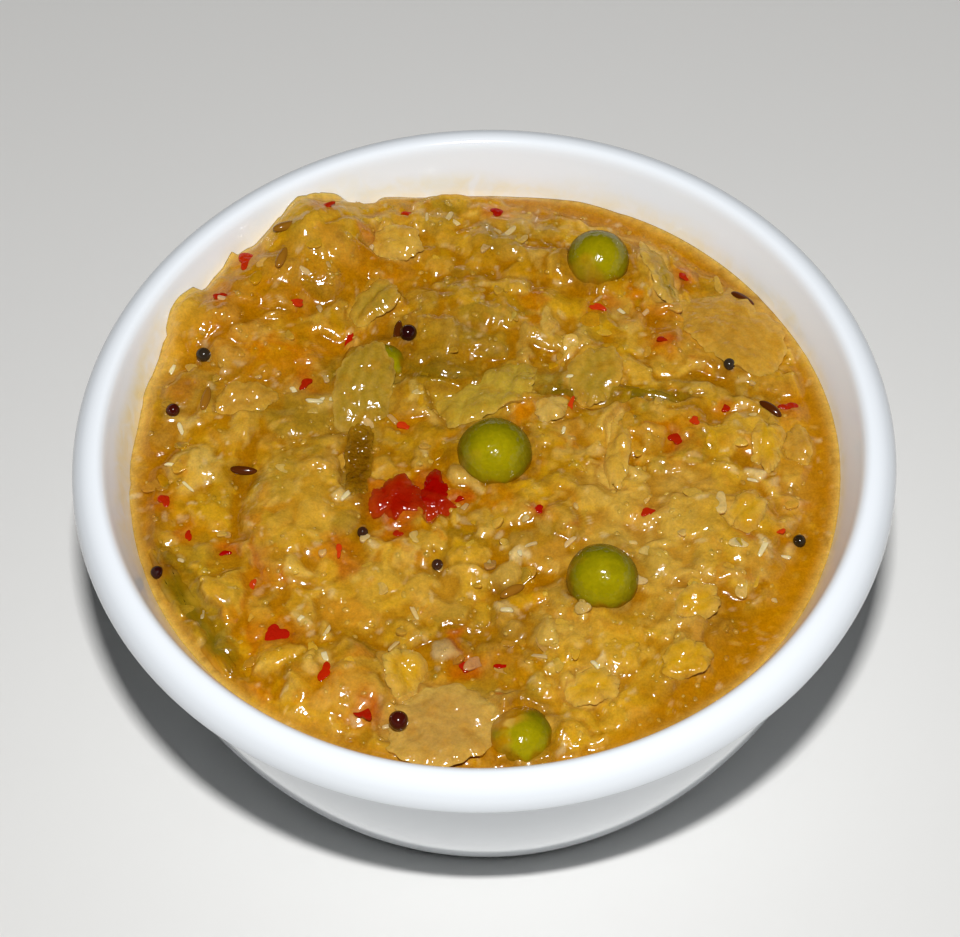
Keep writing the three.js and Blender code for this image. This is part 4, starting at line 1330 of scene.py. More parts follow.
@dataclass(frozen=True)
class Lump:
    """One lump: its place, half sizes, turn in radians, rise and linear colour, how much of that shows,
    and the corners of a flat-topped chunk, or 0 for a round dome, and how far its top leans."""

    place: Pair
    half: Pair
    turn: float
    rise: float
    tone: Array
    opacity: float
    corners: int = 0
    lean: float = 0.0


@dataclass(frozen=True)
class GrainLayer:
    """Grains strewn at random: how many, the ranges of their half size, rise and opacity, their tones,
    and the fewest corners of flat-topped chunks, or 0 for round grains."""

    count: int
    sizes: Pair
    rise: Pair
    opacity: Pair
    tones: tuple[Tone, ...]
    corners: int = 0


BROAD_LUMPS = GrainLayer(
    260, (1.5, 3.0), (0.2, 0.8), (0.4, 0.85),
    (Tone.MASH, Tone.PALE, Tone.GRAVY, Tone.DIM, Tone.YELLOW, Tone.GREENISH),
)
CHUNKS = GrainLayer(
    380, (0.9, 2.3), (0.35, 0.95), (0.4, 0.9),
    (Tone.PALE, Tone.YELLOW, Tone.MASH, Tone.GREENISH, Tone.ORANGE, Tone.CREAM), 4,
)
GRAINS = GrainLayer(
    2200, (0.45, 1.0), (0.08, 0.32), (0.2, 0.6),
    (Tone.PALE, Tone.YELLOW, Tone.MASH, Tone.CREAM, Tone.ORANGE, Tone.DIM, Tone.GRAVY),
)
FINE_GRAINS = GrainLayer(
    4000, (0.2, 0.42), (0.01, 0.05), (0.12, 0.5),
    (Tone.CREAM, Tone.PALE, Tone.YELLOW, Tone.OCHRE, Tone.WHITE, Tone.GRAVY),
)


@dataclass
class StewSurface:
    """Height and colour of the top of the stew, worked out on a fine square raster."""

    bowl: Bowl
    camera: PhotoCamera
    gravy_level: float = 34.7
    top_swell: float = 0.7
    ripple_height: float = 0.32
    edge_blend: float = 0.86
    climb_height: float = 3.6
    climb_angle: float = 126.0
    climb_spread: float = 27.0
    half_span: float = 46.0
    cell: float = 0.16
    seed: int = 20260
    strewn_reach: float = 43.5
    crease_share: float = 0.62
    seen_growth: float = 1.05
    seen_rise: float = 1.25
    gravy_drop: float = 0.14
    torn_middle: float = 140.0
    torn_spread: float = 0.75
    x: Array = field(init=False)
    y: Array = field(init=False)
    warp_x: Array = field(init=False)
    warp_y: Array = field(init=False)
    height: Array = field(init=False)
    pile: Array = field(init=False)
    tone: Array = field(init=False)
    wet: Array = field(init=False)
    ring: Array = field(init=False)
    skin: Array = field(init=False)
    random: np.random.Generator = field(init=False)

    def __post_init__(self) -> None:
        """Lays out the raster."""
        count = int(round(2 * self.half_span / self.cell)) + 1
        line = np.linspace(-self.half_span, self.half_span, count)
        self.x, self.y = np.meshgrid(line, line)
        self.random = np.random.default_rng(self.seed)

    def edge_level(self, angle: Array | float) -> Array:
        """Finds the height at which the stew meets the wall.

        Args:
            angle: Directions from the middle.

        Returns:
            The height in each direction.
        """
        climb = self.climb_height * bell(turns_away(angle, self.climb_angle, self.climb_spread))
        level = self.gravy_level + climb + 0.12 * np.sin(5 * angle + 1) + 0.1 * np.sin(9 * angle)
        for middle, spread, rise in EDGE_LUMPS:
            level = level + rise * bell(turns_away(angle, middle, spread))
        return level

    def edge_radius(self, angle: Array | float) -> Array:
        """Radius at which the stew meets the wall, in some directions."""
        return self.bowl.hollow_radius(self.edge_level(angle))

    def base_height(self, x: Array, y: Array) -> Array:
        """Finds the height of the stew's broad form.

        Args:
            x: Points across.
            y: Points deep.

        Returns:
            Heights of mounds, ripples and the climb to the wall.
        """
        angle = np.arctan2(y, x)
        level = self.edge_level(angle)
        reach = np.hypot(x, y) / self.edge_radius(angle)
        first = np.zeros_like(reach)
        second = np.zeros_like(reach)
        for mound in MOUNDS:
            along, across = along_across(x - mound.x, y - mound.y, radians(mound.turn))
            away = (along / mound.long) ** 2 + (across / mound.wide) ** 2
            rise = mound.rise * np.clip(1 - away, 0, 1) ** 0.7
            second = np.maximum(second, np.minimum(first, rise))
            first = np.maximum(first, rise)
        ripple = np.sin(0.83 * x + 0.4 * y) * np.cos(0.71 * y - 0.3 * x + 1) * self.ripple_height
        climb = (level - self.gravy_level) * smoothstep(reach, 0.45, 1)
        inner = self.gravy_level + climb + self.top_swell * (1 - np.minimum(reach, 1) ** 2)
        relief = first + 0.35 * second + ripple
        return inner + relief * (1 - smoothstep(reach, self.edge_blend, 1))

    def blur(self, values: Array, spread: float) -> Array:
        """Smooths a raster.

        Args:
            values: The raster.
            spread: The blur's spread.

        Returns:
            The smoothed raster.
        """
        rows, columns = values.shape
        down = np.fft.fftfreq(rows)[:, None]
        across = np.fft.rfftfreq(columns)[None, :]
        kernel = np.exp(-2 * (pi * (spread / self.cell)) ** 2 * (down**2 + across**2))
        return np.fft.irfft2(np.fft.rfft2(values) * kernel, s=values.shape)

    def cloud(self, spread: float) -> Array:
        """Draws soft random waves of one size, with a spread of 1."""
        waves = self.blur(self.random.standard_normal(self.x.shape), spread)
        return (waves - waves.mean()) / waves.std()

    def window(self, x: float, y: float, reach: float) -> Part:
        """Finds the part of the raster round one point.

        Args:
            x: The point's place across.
            y: The point's place deep.
            reach: Half the side of the part.

        Returns:
            Slices of rows and columns.
        """
        last = len(self.x)
        low = [max(int((middle - reach + self.half_span) / self.cell), 0) for middle in (y, x)]
        high = [min(int((middle + reach + self.half_span) / self.cell) + 2, last) for middle in (y, x)]
        return slice(low[0], high[0]), slice(low[1], high[1])

    def paint(self, part: Part, colour: Array, share: Array) -> None:
        """Mixes a linear colour into part of the raster."""
        self.tone[part] = blend(self.tone[part], colour, share)

    def tint(self, colour: Array, share: Array) -> None:
        """Mixes a linear colour into the whole raster."""
        self.tone = blend(self.tone, colour, share)

    def spot_axes(self, place: Pair, half: Pair, turn: float, reach: float) -> tuple[Part, Array, Array]:
        """Measures the stirred raster round one spot along the spot's own axes.

        Args:
            place: The spot's middle.
            half: Half its length and half its width.
            turn: Its turn in radians.
            reach: How far to look, as a share of its half length.

        Returns:
            The part of the raster, and shares of the way along and across.
        """
        part = self.window(place[0], place[1], max(half) * reach)
        along, across = along_across(self.warp_x[part] - place[0], self.warp_y[part] - place[1], turn)
        return part, along / half[0], across / half[1]

    def pile_lump(self, lump: Lump) -> None:
        """Piles one soft lump on its layer, where the higher lump always wins.

        Args:
            lump: The lump.
        """
        part, along, across = self.spot_axes(lump.place, lump.half, lump.turn, 1.45)
        away = np.zeros_like(along)
        for side in range(lump.corners):
            way = tau * (side + self.random.uniform(-0.28, 0.28)) / lump.corners
            push = self.random.uniform(0.8, 1.1)
            away += np.clip((along * cos(way) + across * sin(way)) / push, 0, None) ** 6
        if lump.corners:
            away = away ** (1 / 6)
            dome = (lump.rise + lump.lean * along) * np.clip(1 - away**5, 0, 1) ** self.crease_share
        else:
            away = np.hypot(along, across)
            dome = lump.rise * np.clip(1 - away**2, 0, 1) ** self.crease_share
        under = self.pile[part]
        edge = 0.04 + 0.12 * abs(lump.rise)
        over = smoothstep(dome - under, -edge, edge) * (1 - smoothstep(away, 0.8, 1.06))
        self.paint(part, lump.tone, lump.opacity * over)
        if lump.corners:
            # A paler line at the chunk's edge: partly the pale edge of the piece, partly a painted highlight.
            rim = bell((away - 0.9) / 0.09)
            self.paint(part, Tone.CREAM.linear, 0.4 * lump.opacity * rim * over)
        self.pile[part] = np.maximum(under, dome) if lump.rise > 0 else under + dome

    def settle_pile(self, share: float, softness: float) -> None:
        """Adds a share of a finished layer, its creases softened, and starts the next layer."""
        self.height += share * self.blur(self.pile, softness)
        self.pile = np.zeros_like(self.height)

    def lay_base(self) -> None:
        """Starts from the broad form in mash and gravy tones, and the stirred raster."""
        self.height = self.base_height(self.x, self.y)
        self.pile = np.zeros_like(self.height)
        swirl = smoothstep(self.cloud(3.0), -1.1, 1.1)[..., None]
        self.tone = Tone.GRAVY.linear * (1 - swirl) + Tone.MASH.linear * swirl
        self.tint(Tone.ORANGE.linear, smoothstep(self.cloud(2.2), 0.7, 2.2) * 0.5)
        self.warp_x = self.x + 0.4 * self.cloud(1.0) + 0.14 * self.cloud(0.35)
        self.warp_y = self.y + 0.4 * self.cloud(1.0) + 0.14 * self.cloud(0.35)

    def on_stew(self, pixel: Pair) -> Pair:
        """Finds the point of the stew that a pixel of the photograph shows.

        Args:
            pixel: Column and row in the photograph.

        Returns:
            The point's x and y.
        """
        height = self.gravy_level + 1
        for _ in range(4):
            x, y = self.camera.at_height(pixel, height)
            height = self.base_at(x, y)
        return x, y

    def lay_seen_lumps(self) -> None:
        """Lays the lumps that the photograph shows."""
        for tone, rows in LUMPS.items():
            for column, row, long, wide, turn, rise in rows:
                lump = Lump(
                    self.on_stew((column, row)),
                    (long * self.seen_growth, wide * self.seen_growth),
                    radians(turn),
                    rise * self.seen_rise,
                    tone.linear * self.random.uniform(0.95, 1.07),
                    0.8,
                    int(self.random.integers(5, 8)),
                    self.random.uniform(-0.3, 0.3),
                )
                self.pile_lump(lump)

    def lay_grains(self, layer: GrainLayer) -> None:
        """Strews small soft grains or chunks over the whole stew.

        Args:
            layer: What is strewn.
        """
        for _ in range(layer.count):
            reach = self.strewn_reach * sqrt(self.random.uniform())
            angle = self.random.uniform(0, tau)
            size = self.random.uniform(*layer.sizes)
            stretch = self.random.uniform(1.0, 1.8)
            tone = layer.tones[self.random.integers(len(layer.tones))].linear
            grain = Lump(
                (reach * cos(angle), reach * sin(angle)),
                (size * stretch, size),
                self.random.uniform(0, pi),
                self.random.uniform(*layer.rise),
                tone * self.random.uniform(0.9, 1.08),
                self.random.uniform(*layer.opacity),
                layer.corners + int(self.random.integers(3)) if layer.corners else 0,
                self.random.uniform(-0.4, 0.4) if layer.corners else 0.0,
            )
            self.pile_lump(grain)

    def lay_patches(self, hold: float) -> None:
        """Tints the stew where the photograph shows oil, gravy and green, with painted shade in the dim
        patches and partly painted light in the yellow and cream ones, held back to a share.

        Args:
            hold: The share.
        """
        for tone, rows in PATCHES.items():
            for column, row, long, wide, turn, strength in rows:
                place = self.on_stew((column, row))
                part, along, across = self.spot_axes(place, (long, wide), radians(turn), 2.2)
                self.paint(part, tone.linear, hold * strength * np.exp(-((along**2 + across**2) ** 1.3)))

    def lay_creases(self) -> None:
        """Draws grooves and threads along their lines; the darker tone along a groove is partly gravy in it
        and partly painted shade.
        """
        for crease in CREASES:
            line = np.array([self.on_stew(pixel) for pixel in crease.pixels])
            middle = line.mean(0)
            reach = np.abs(line - middle).max() + 3 * crease.half_width + 1
            part = self.window(middle[0], middle[1], reach)
            x, y = self.warp_x[part], self.warp_y[part]
            nearest = np.full(x.shape, reach)
            for start, end in zip(line[:-1], line[1:]):
                step = end - start
                share = ((x - start[0]) * step[0] + (y - start[1]) * step[1]) / (step @ step)
                share = np.clip(share, 0, 1)
                gap = np.hypot(x - start[0] - share * step[0], y - start[1] - share * step[1])
                nearest = np.minimum(nearest, gap)
            line_share = bell(nearest / crease.half_width)
            self.height[part] -= crease.depth * line_share
            self.paint(part, crease.tone.linear, crease.strength * line_share)

    def paint_hollow_shade_and_top_light(self) -> None:
        """Darkens the hollows with a deep gravy tone, partly the gravy lying deep there and partly painted
        shade, and paints light on the tops with a paler tone.
        """
        for reach, deep, pale in ((0.5, 0.55, 0.12), (1.2, 0.6, 0.14), (3.0, 0.5, 0.12)):
            stand = self.height - self.blur(self.height, reach)
            stand = stand / stand.std()
            # Painted shade in the hollows, painted light on the tops.
            self.tint(Tone.DEEP_GRAVY.linear * 0.8, smoothstep(-stand, 0.3, 2.4) * deep)
            self.tint(Tone.CREAM.linear, smoothstep(stand, 0.3, 2.4) * pale)

    def pour_gravy(self) -> None:
        """Fills the crevices with gravy, leaves a smooth ring of it at the wall, and a pale line."""
        depth = self.blur(self.height, 1.25) - self.gravy_drop - self.height
        self.wet = smoothstep(depth, -0.16, 0.2)
        lift = 0.5 * (depth + np.sqrt(depth**2 + 0.1**2))
        self.height = self.height + lift * 0.8
        self.tint(Tone.GRAVY.linear, 0.5 * self.wet)
        angle = np.degrees(np.arctan2(self.y, self.x))
        knots = np.array(RING_WIDTHS)
        width = np.interp(angle, knots[:, 0], knots[:, 1])
        edge = self.edge_radius(np.radians(angle))
        inset = edge - np.hypot(self.warp_x * 0.6 + self.x * 0.4, self.warp_y * 0.6 + self.y * 0.4)
        self.ring = 1 - smoothstep(inset, width * 0.75, width * 1.25 + 0.3)
        smooth = self.blur(self.base_height(self.x, self.y), 1.2)
        self.height = self.height * (1 - self.ring) + smooth * self.ring
        deep = 0.5 * smoothstep(self.cloud(3.0), -1, 1)[..., None]
        sauce = Tone.GRAVY.linear * (1 - deep) + Tone.DEEP_GRAVY.linear * deep
        self.tint(sauce, self.ring * 0.85)
        true_inset = edge - np.hypot(self.x, self.y)
        away = angle_between(np.radians(angle), radians(self.torn_middle)) / self.torn_spread
        torn = np.exp(-(away**4))
        self.tint(Tone.WALL_LINE.linear, bell(true_inset / (0.9 + 0.7 * torn)) * (0.7 + 0.2 * torn))
        self.height = self.height + 0.35 * np.exp(-np.clip(true_inset, 0, None) / 0.7) * self.ring

    def roughen(self) -> None:
        """Notes where the skin is grainy: in clusters on the lumps, not on the gravy."""
        clusters = smoothstep(self.cloud(1.3), -0.8, 1.0)
        self.skin = (1 - 0.6 * self.wet) * (1 - 0.8 * self.ring) * (0.4 + 0.6 * clusters)

    def bed_peas(self) -> None:
        """Lets the stew stand up against the peas, and paints a darker ochre ring round each, partly gravy
        and partly painted contact shade.
        """
        for pea in PEAS:
            part = self.window(pea.x, pea.y, pea.radius + 3)
            away = np.hypot(self.warp_x[part] - pea.x, self.warp_y[part] - pea.y)
            contact = bell((away - pea.radius) / 0.9)
            self.height[part] += 0.5 * contact
            # Darker ochre ring at the contact: partly gravy, partly painted contact shade.
            self.paint(part, Tone.OCHRE.linear, 0.55 * contact)

    def bed_sheets(self) -> None:
        """Lets the stew stand up under leaves and skins, take on their tones, and paints a dark gravy line of
        painted shade round each edge.
        """
        sheets = (*CABBAGE, *RED_CHILLI, GREEN_CHILLI, *CURRY_LEAVES)
        tones = [edge for _, edge in CABBAGE_TONES] + [Tone.RUST] * 2 + [Tone.BROWN] + [Tone.OLIVE] * 2
        broad = self.blur(self.height, 1.5)
        for sheet, tone in zip(sheets, tones):
            part = self.window(sheet.x, sheet.y, sheet.long * 1.3 + 1.5)
            u, v = sheet.to_local(self.warp_x[part], self.warp_y[part])
            away = np.hypot(u / sheet.long, v / sheet.wide)
            away = away / sheet.outline(np.arctan2(v / sheet.wide, u / sheet.long))
            middle = self.base_at(sheet.x, sheet.y) + sheet.lift
            slope = tan(radians(sheet.pitch)) * u + tan(radians(sheet.roll)) * v
            bed = middle + slope - sheet.bow * (u / sheet.long) ** 2 - 0.28
            raised = bed + 0.5 * (self.height[part] - broad[part])
            self.height[part] += (raised - self.height[part]) * (1 - smoothstep(away, 0.85, 1.3))
            self.paint(part, tone.linear, 0.5 * (1 - smoothstep(away, 0.95, 1.35)))
            # Painted shade: a dark gravy line just outside the sheet's edge.
            self.paint(part, Tone.DEEP_GRAVY.linear, 0.5 * bell((away - 1.08) / 0.08))

    def cover_peas(self) -> None:
        """Opens the stew over the hidden pea, and heaps it over the upper left of the front one."""
        hidden, sunken = PEAS[-1], PEAS[3]
        part = self.window(hidden.x, hidden.y, hidden.radius * 2)
        away = np.hypot(self.warp_x[part] - hidden.x - 0.8, self.warp_y[part] - hidden.y + 1.2)
        limit = self.base_at(hidden.x, hidden.y) + 0.9 + 2.4 * smoothstep(away, 2.2, 4.6)
        self.height[part] = np.minimum(self.height[part], limit)
        part = self.window(sunken.x, sunken.y, sunken.radius * 2)
        away = np.hypot(self.warp_x[part] - sunken.x + 1.7, self.warp_y[part] - sunken.y - 2.8)
        self.height[part] += 1.3 * bell(away / 2.0)

    def stain_round_toppings(self) -> None:
        """Tints the gravy softly round seeds, flakes and coconut."""
        halos = [(x, y, radius + 0.7, Tone.BROWN, 0.45) for x, y, radius in MUSTARD_SEEDS]
        halos += [(x, y, 1.5, Tone.BROWN, 0.3) for x, y, _ in CUMIN_SEEDS]
        for index, (x, y, long, wide, _) in enumerate(CHILLI_FLAKES):
            halos.append((x, y, (long + wide) / 4 + 0.8, Tone.RUST if index % 2 else Tone.ORANGE, 0.55))
        halos += [(x, y, 0.9, Tone.CREAM, 0.5) for x, y in COCONUT_BITS]
        for x, y, reach, tone, strength in halos:
            part, along, across = self.spot_axes((x, y), (reach, reach), 0.0, 2.2)
            self.paint(part, tone.linear, strength * np.exp(-(along**2 + across**2)))

    def build(self) -> None:
        """Lays every layer in order."""
        self.lay_base()
        self.lay_grains(BROAD_LUMPS)
        self.lay_grains(CHUNKS)
        self.lay_seen_lumps()
        self.settle_pile(1.0, 0.16)
        self.lay_grains(GRAINS)
        self.settle_pile(0.9, 0.1)
        self.lay_patches(1.0)
        self.lay_creases()
        self.paint_hollow_shade_and_top_light()
        self.pour_gravy()
        self.lay_grains(FINE_GRAINS)
        self.settle_pile(1.0, 0.06)
        self.lay_patches(0.4)
        self.roughen()
        self.bed_peas()
        self.bed_sheets()
        self.cover_peas()
        self.stain_round_toppings()
        self.height = self.blur(self.height, 0.08)

    def read(self, values: Array, x: Array, y: Array) -> Array:
        """Reads the raster between its cells.

        Args:
            values: A raster of heights, or of colours.
            x: Points across.
            y: Points deep.

        Returns:
            The value at each point.
        """
        last = len(self.x) - 2
        column = np.clip((np.asarray(x) + self.half_span) / self.cell, 0, last)
        row = np.clip((np.asarray(y) + self.half_span) / self.cell, 0, last)
        left = column.astype(int)
        low = row.astype(int)
        right, up = column - left, row - low
        if values.ndim == 3:
            right, up = right[..., None], up[..., None]
        near = values[low, left] * (1 - right) + values[low, left + 1] * right
        far = values[low + 1, left] * (1 - right) + values[low + 1, left + 1] * right
        return near * (1 - up) + far * up

    def height_at(self, x: float, y: float) -> float:
        """The height of the dressed stew at one point."""
        return float(self.read(self.height, np.array([x]), np.array([y]))[0])

    def tone_at(self, x: float, y: float) -> Array:
        """The linear colour of the dressed stew at one point."""
        return self.read(self.tone, np.array([x]), np.array([y]))[0]

    def base_at(self, x: float, y: float) -> float:
        """The height of the CAD model's stew at one point."""
        return float(self.base_height(np.array([x]), np.array([y]))[0])


# --- The stew ---


@dataclass
class Stew:
    """The stew itself, from its lumpy top down to the floor of the bowl."""

    surface: StewSurface
    cells: int = 292
    wall_press: float = 0.12
    wall_gap: float = 0.3
    rim_lift: float = 0.3
    skirt: tuple[float, ...] = (0.72, 0.45, 0.22, 0.08, 0.0)
    ragged_middle: float = 140.0
    ragged_spread: float = 42.0
    ragged_seed: int = 5
    teeth: tuple[tuple[int, float], ...] = ((44, 0.6), (110, 0.26), (240, 0.1))
    edge_shifts: Rows = ((92, 15, -1.0), (117, 5, 0.7), (109.5, 3, -1.2))

    def ragged_level(self, angle: Array) -> Array:
        """Finds the height of the torn line at the wall, rougher at the back left.

        Args:
            angle: Directions from the middle.

        Returns:
            The height in each direction.
        """
        away = turns_away(angle, self.ragged_middle, self.ragged_spread)
        random = np.random.default_rng(self.ragged_seed)
        torn = np.zeros_like(angle)
        for teeth, reach in self.teeth:
            knots = np.sort(random.uniform(-pi, pi, teeth))
            torn += np.interp(angle, knots, reach * random.standard_normal(teeth), period=tau)
        level = self.surface.edge_level(angle) + torn * (0.1 + 0.9 * np.exp(-(away**4)))
        for middle, spread, rise in self.edge_shifts:
            level = level + rise * np.exp(-(turns_away(angle, middle, spread) ** 4))
        return level

    def build(self) -> None:
        """Models the stew as a closed mesh."""
        surface = self.surface
        stew = add_disc_grid(self.cells)
        points = get_points(stew)
        angle = np.arctan2(points[:, 1], points[:, 0])
        share = np.hypot(points[:, 0], points[:, 1])
        level = self.ragged_level(angle)
        edge = surface.bowl.hollow_radius(level) + self.wall_press
        x = share * edge * np.cos(angle)
        y = share * edge * np.sin(angle)
        rim = smoothstep(share, 0.97, 1)
        height = surface.read(surface.height, x, y) * (1 - rim) + (level + self.rim_lift) * rim
        set_points(stew, np.stack([x, y, height], -1) * MM)
        self.close(stew)
        tones = np.tile(Tone.DEEP_GRAVY.linear, (len(stew.data.vertices), 1))
        tones[: len(x)] = surface.read(surface.tone, x, y)
        skin = np.zeros(len(tones))
        skin[: len(x)] = surface.read(surface.skin, x, y)
        set_tone(stew, tones, skin)
        finish_piece(stew, "kootu_stew", STEW_WET.build(), "kootu")

    def close(self, stew: Object) -> None:
        """Draws the edge down along the wall and shuts the bottom.

        Args:
            stew: The top, an open disc.
        """
        bowl = self.surface.bowl
        floor = bowl.floor_height + self.wall_gap
        with edit_mode(stew):
            bpy.ops.mesh.select_mode(type="EDGE")
            bpy.ops.mesh.select_all(action="DESELECT")
            bpy.ops.mesh.select_non_manifold()
            for share in self.skirt:
                bpy.ops.mesh.extrude_region_move()
                mesh = bmesh.from_edit_mesh(stew.data)
                for point in (p for p in mesh.verts if p.select):
                    angle = atan2(point.co.y, point.co.x)
                    height = floor + (float(self.surface.edge_level(angle)) - floor) * share
                    reach = float(bowl.hollow_radius(height)) - self.wall_gap
                    point.co = (reach * cos(angle) * MM, reach * sin(angle) * MM, height * MM)
                bmesh.update_edit_mesh(stew.data)
            bpy.ops.mesh.edge_face_add()
            bpy.ops.mesh.select_all(action="SELECT")
            bpy.ops.mesh.normals_make_consistent(inside=False)


# --- Peas ---


@dataclass
class PeaSet:
    """The peas: round, slightly dented skins, with painted light on the side that faces the lamp and painted
    shade towards the edges and in the dents.
    """

    surface: StewSurface
    detail: int = 6
    # The skin colour, a bright colour painted as light on the lamp side and a dark colour painted as shade.
    skin: Triple = (128, 121, 4)
    bright: Triple = (168, 154, 6)
    shade: Triple = (90, 84, 0)
    lamp_side: Triple = (0.0, -0.6, 0.8)
    dents: int = 46
    dent_sizes: Pair = (0.08, 0.3)
    dent_depth: float = 0.014
    veil_soft: float = 0.35
    first_seed: int = 100

    def build(self) -> None:
        """Models every pea."""
        material = PEA_SKIN.build()
        for number, pea in enumerate(PEAS, 1):
            self.build_one(number, pea, material)

    def build_one(self, number: int, pea: Pea, material: Material) -> None:
        """Models one pea.

        Args:
            number: Its number among the CAD nodes.
            pea: Its place and size.
            material: Its finish.
        """
        random = np.random.default_rng(self.first_seed + number)
        deselect_all()
        bpy.ops.mesh.primitive_ico_sphere_add(subdivisions=self.detail, radius=1)
        ball = bpy.context.object
        points = get_points(ball)
        x, y, z = points.T
        skin, bright, shade = (to_linear(tone) for tone in (self.skin, self.bright, self.shade))
        # Painted light and shade: brighter where the skin faces the lamp, darker towards the edges.
        light = points @ np.array(self.lamp_side)
        tones = blend(shade, skin, smoothstep(light, 0.0, 0.72))
        tones = blend(tones, bright, smoothstep(light, 0.55, 1.0) * 0.7)
        swell = 1 + 0.015 * np.sin(3 * x + number) * np.sin(2.6 * y + 2 * number)
        for _ in range(self.dents):
            middle = random.standard_normal(3)
            middle /= np.linalg.norm(middle)
            size = random.uniform(*self.dent_sizes)
            dent = bell((1 - points @ middle) / size**2 * 2)
            swell -= self.dent_depth * dent * random.uniform(-0.5, 1) * size / 0.2
            # Painted shade: the dents are mostly darkened with the shade colour.
            tones = blend(tones, shade, dent * random.uniform(-0.1, 0.28) * 0.5)
        middle = np.array([pea.x, pea.y, self.surface.base_at(pea.x, pea.y) + pea.lift])
        placed = points * swell[:, None] * pea.radius + middle
        stew = self.surface.read(self.surface.height, placed[:, 0], placed[:, 1])
        smear = smoothstep(placed[:, 2] - stew + 0.3 * np.sin(9 * x + 7 * y), 0.9, -0.1)
        tones = blend(tones, Tone.OCHRE.linear, 0.8 * smear)
        under = self.surface.read(self.surface.tone, placed[:, 0], placed[:, 1])
        ragged = 0.1 * np.sin(5 * x + 4 * z) + 0.06 * np.sin(11 * y)
        for *way, start, strength in PEA_VEILS.get(number, ()):
            veil = smoothstep(points @ np.array(way) + ragged, start, start + self.veil_soft)
            tones = blend(tones, under, strength * veil)
        set_points(ball, placed * MM)
        set_tone(ball, tones)
        finish_piece(ball, f"green_pea_{number}", material, f"pea_{number}")


# --- Leaves and skins ---

Painter = Callable[[Array, Array, Array], Array]


@dataclass(frozen=True)
class Lay:
    """How a sheet lies: its thickness, how much its edge takes on the stew's tones and from where, the
    height of its small waves, how far it curves sideways, sinks, and dips just left of its middle."""

    thickness: float
    blend: float
    crumple: float = 0.1
    sink: float = 0.0
    sweep: float = 0.0
    dip: float = 0.0
    fade_from: float = 0.6


FLAT_CABBAGE = Lay(0.8, 0.38)
CRUMPLED_CABBAGE = Lay(0.8, 0.38, 0.24)
FLAT_CABBAGE_NUMBERS = (1, 3, 4, 5)
RED_CHILLI_LAYS = (Lay(0.45, 0.2, 0.06, 0.2), Lay(0.45, 0.04, 0.06, 0.2))
GREEN_CHILLI_LAY = Lay(0.6, 0.3, 0.05, 0.2)
CURRY_LEAF_LAYS = (
    Lay(0.7, 1.0, sink=0.42, sweep=0.001, fade_from=0.2),
    Lay(0.7, 0.5, sink=0.5, sweep=-0.011, dip=0.9, fade_from=0.2),
)
CURRY_LEAF_SHIFTS = (-1.0, 0.0)


